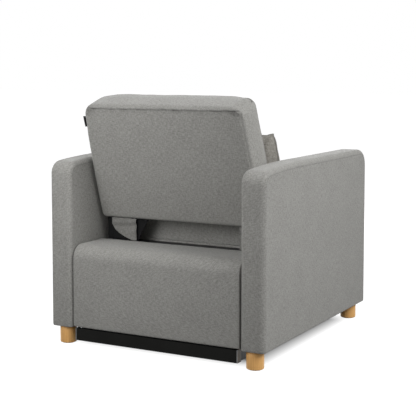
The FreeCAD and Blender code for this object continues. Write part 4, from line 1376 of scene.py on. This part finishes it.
@dataclass
class PullFront(Assembly):
    """The padded front of the pull-out section with its tab, and the covered rails beside it."""

    crown: float = 0.003
    taut: float = 0.0008
    edge: float = 0.008
    strap: float = 0.0022

    def build(self) -> None:
        """Make the front cover, the tab and the two covered seat panels."""
        for node, name, body, swell in (
            ("front_cover", "front_panel", "pullout", self.crown),
            ("seat_front_panel", "seat_front", "frame", self.taut),
            ("seat_rear_panel", "seat_rear", "frame", self.taut),
        ):
            low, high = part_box(node)
            size = (high - low) / 2
            radius = min(self.edge, size.y * 0.9)
            skin, plain = Block(tuple(size), radius, 0.012).skin()
            inside = fall(plain[:, 0] / size.x, 4) * fall(plain[:, 2] / size.z, 4)
            front = ease(-plain[:, 1], 0.0, size.y)
            uneven = ripple(skin.points, 0.15, 91) * swell * 0.3
            skin.points[:, 1] -= front * inside * (swell + uneven)
            rim = np.minimum(size.x - np.abs(plain[:, 0]), size.z - np.abs(plain[:, 2]))
            skin.seam = bell(rim - 0.002, 0.0015) * 0.5 * front
            skin.points += np.array((low + high) / 2)
            piece = skin.place(name, body, Slot.UPHOLSTERY, self.wardrobe)
            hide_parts(node)
        self.tab()

    def tab(self) -> None:
        """A webbing tab that hangs down the front panel: a section whose half thickness is
        strap / 2 * (1 - u^8), carried along a slightly bowed line and closed at its ends.
        """
        low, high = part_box("pull_tab")
        t = np.linspace(0, 1, 40)
        y = high.y - self.crown - (0.0018 * np.sin(pi * t) + 0.0012 * t)
        line = np.stack([y, high.z - (high.z - low.z) * t], 1)
        way = np.gradient(line, axis=0)
        way /= np.linalg.norm(way, axis=1, keepdims=True)
        out = np.stack([way[:, 1], -way[:, 0]], 1)
        u = sine_steps(13)
        half = self.strap / 2 * (1 - u ** 8)
        rise = np.concatenate([half, -half[-2:0:-1], half[:1]])
        middle = (low.x + high.x) / 2
        x = middle + (high.x - low.x) / 2 * np.concatenate([u, u[-2:0:-1], u[:1]])
        section = line[:, None] + out[:, None] * rise[None, :, None]
        grid = np.concatenate([np.repeat(x[None], len(t), 0)[..., None], section], -1)
        ends = [np.tile((middle, *line[i]), (1, len(x), 1)) for i in (0, -1)]
        run = run_length(line)
        run, x = np.meshgrid(np.concatenate([run[:1], run, run[-1:]]), x, indexing="ij")
        points = np.concatenate([ends[0], grid, ends[1]]).reshape(-1, 3)
        skin = Skin(points, grid_faces(*x.shape), grid_cloth(run, x))
        piece = skin.place("tab", "pullout", Slot.WEBBING, self.wardrobe)
        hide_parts("pull_tab")


@dataclass
class SideTag(Assembly):
    """The small blank label, folded double and sewn into the back's side seam."""

    lean: Lean = Lean()
    up: float = 0.33
    height: float = 0.038
    inner: float = 0.292
    outer: float = 0.313
    depth: float = 0.0175
    half_fold: float = 0.0011
    bow: float = 0.0006

    def build(self) -> None:
        """Make the label: a flat loop in the plane across the chair."""
        s, t = np.meshgrid(np.linspace(0, 1, 17), np.linspace(0, 1, 25), indexing="ij")
        x = self.inner + (self.outer - self.inner) * s
        z = self.up + self.height * t
        half = self.half_fold * np.sqrt(fall(s, 6)) * fall(2 * t - 1, 10)
        y = self.bow * np.sin(pi * t) * s - self.depth
        front, back = (np.stack([x, y + sign * half, z], -1) for sign in (1, -1))
        skin = doubled(front, back, grid_cloth(z, x))
        skin.points = self.lean.place(skin.points)
        piece = skin.place("label", "back", Slot.WEBBING, self.wardrobe)
        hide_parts("side_tag")


# The studio


def facing(ahead: Vector) -> Euler:
    """The turn that makes a camera or a lamp look ahead."""
    return ahead.to_track_quat("-Z", "Y").to_euler()


@dataclass(frozen=True)
class Softbox:
    """A square lamp that looks at a point, out of the camera's sight; power is in watts."""

    name: str
    place: Place
    target: Place
    size: float
    power: float

    def hang(self) -> None:
        """Make the lamp."""
        data = bpy.data.lights.new(self.name, "AREA")
        data.size = self.size
        data.energy = self.power
        lamp = bpy.data.objects.new(self.name, data)
        lamp.visible_camera = False
        lamp.location = self.place
        lamp.rotation_euler = facing(Vector(self.target) - Vector(self.place))
        bpy.context.scene.collection.objects.link(lamp)


@dataclass
class Studio:
    """A plain white studio and a camera at the photograph's angle."""

    camera_at: Place = (-1.7877, 3.3584, 0.9354)
    camera_yaw: float = 0.4965
    camera_pitch: float = radians(4.5)
    lens: float = 93.41
    shift: float = -0.1369
    sky: float = 0.22
    floor_half: float = 30.0
    floor_grey: float = 0.22
    floor_glow: float = 0.98
    # The chair's footprint, how deeply its painted shadow dims the floor's glow, and how fast that fades at
    # the edges.
    under_chair: tuple[float, float] = (0.37, 0.4)
    painted_shadow_depth: float = 0.9
    under_fade: float = 12.0
    softboxes: tuple[Softbox, ...] = (
        Softbox("top_softbox", (0.0, 0.3, 2.6), (0.0, 0.0, 0.4), 2.2, 7.8),
        Softbox("side_softbox", (-2.3, 0.4, 1.9), (-0.2, 0.0, 0.5), 1.3, 50.0),
        Softbox("rear_softbox", (0.3, 1.25, 0.85), (0.0, 0.3, 0.62), 0.7, 6.5),
        Softbox("front_softbox", (0.9, -2.8, 1.5), (0.0, -0.2, 0.4), 1.6, 34.0),
        Softbox("left_softbox", (3.0, -0.6, 1.8), (0.2, 0.0, 0.4), 1.8, 38.0),
    )

    def build(self) -> None:
        """Make the camera, lamps, world and floor."""
        self.camera()
        for softbox in self.softboxes:
            softbox.hang()
        self.world()
        self.floor()
        bpy.context.scene.view_settings.view_transform = "Standard"

    def camera(self) -> None:
        """The camera, whose direction follows from its yaw and pitch."""
        data = bpy.data.cameras.new("photo_view")
        data.lens = self.lens
        data.shift_y = self.shift
        data.clip_start = 0.05
        eye = bpy.data.objects.new("photo_view", data)
        bpy.context.scene.collection.objects.link(eye)
        level = cos(self.camera_pitch)
        sideways, rearward = sin(self.camera_yaw) * level, cos(self.camera_yaw) * level
        eye.location = self.camera_at
        eye.rotation_euler = facing(Vector((sideways, -rearward, -sin(self.camera_pitch))))
        bpy.context.scene.camera = eye

    def world(self) -> None:
        """Even light all round, and plain white where the camera or a reflection looks past
        the chair.
        """
        world = bpy.data.worlds.new("studio")
        bpy.context.scene.world = world
        board = Board(world)
        strength = board.seen() * (1.0 - self.sky) + self.sky
        inputs = {"Color": (1.0, 1.0, 1.0, 1.0), "Strength": strength}
        board.node("ShaderNodeOutputWorld", {}, {0: board.flow("ShaderNodeBackground", {}, inputs)})

    def floor(self) -> None:
        """A wide pale floor that shows as white, apart from the chair's shadow: the floor's own lit shadow,
        and painted shadow where its glow is dimmed under the chair.
        """
        half = self.floor_half
        mesh = bpy.data.meshes.new("floor")
        corners = [(-half, -half, 0.0), (half, -half, 0.0), (half, half, 0.0), (-half, half, 0.0)]
        mesh.from_pydata(corners, [], [(0, 1, 2, 3)])
        board = Board(bpy.data.materials.new("pale_floor"))
        place = board.on_piece()
        # Painted shadow: the glow that shows the floor as white is dimmed over the chair's footprint and
        # fades out at its edges.
        within = [
            ((away.math("ABSOLUTE") - reach) * -self.under_fade).held()
            for away, reach in zip(board.split(place), self.under_chair)
        ]
        glow = board.seen() * (1.0 - within[0] * within[1] * self.painted_shadow_depth) * self.floor_glow
        inputs = {
            "Base Color": board.shade((self.floor_grey,) * 3, board.noise(place, 3.0) * 0.02 + 0.99),
            "Roughness": 0.9,
            "Specular IOR Level": 0.0,
            "Emission Color": board.shade((1.0, 1.0, 1.0), glow),
            "Emission Strength": 1.0,
        }
        mesh.materials.append(board.finish(inputs))
        floor = bpy.data.objects.new("floor", mesh)
        bpy.context.scene.collection.objects.link(floor)


def main() -> None:
    """Build the chair bed: finishes, covers, pads, legs, wheels and the studio."""
    logging.basicConfig(level=logging.INFO, format="%(name)s: %(message)s")
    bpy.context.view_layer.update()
    wardrobe = Wardrobe()
    wardrobe.dress_nodes()
    for side in Side:
        Arm(wardrobe, side).build()
        HingeFlap(wardrobe, side).build()
    RearBox(wardrobe).build()
    for pad in (
        ("seat_pad", "seat_cushion", "frame", Slot.SEAT, 0.012, 0.034, 0.05),
        ("bed_pad", "bed_cushion", "pullout", Slot.BED, 0.008, 0.022, 0.022),
    ):
        SeatPad(wardrobe, *pad).build()
    for assembly in (Back, SideTag, Pillow, PullFront):
        assembly(wardrobe).build()
    for end in ("front", "rear"):
        for side in Side:
            Leg(wardrobe, f"leg_{end}_{side.tag}").build()
            Wheel(wardrobe, f"wheel_{end}_{side.tag}").build()
    Studio().build()


if __name__ == "__main__":
    main()
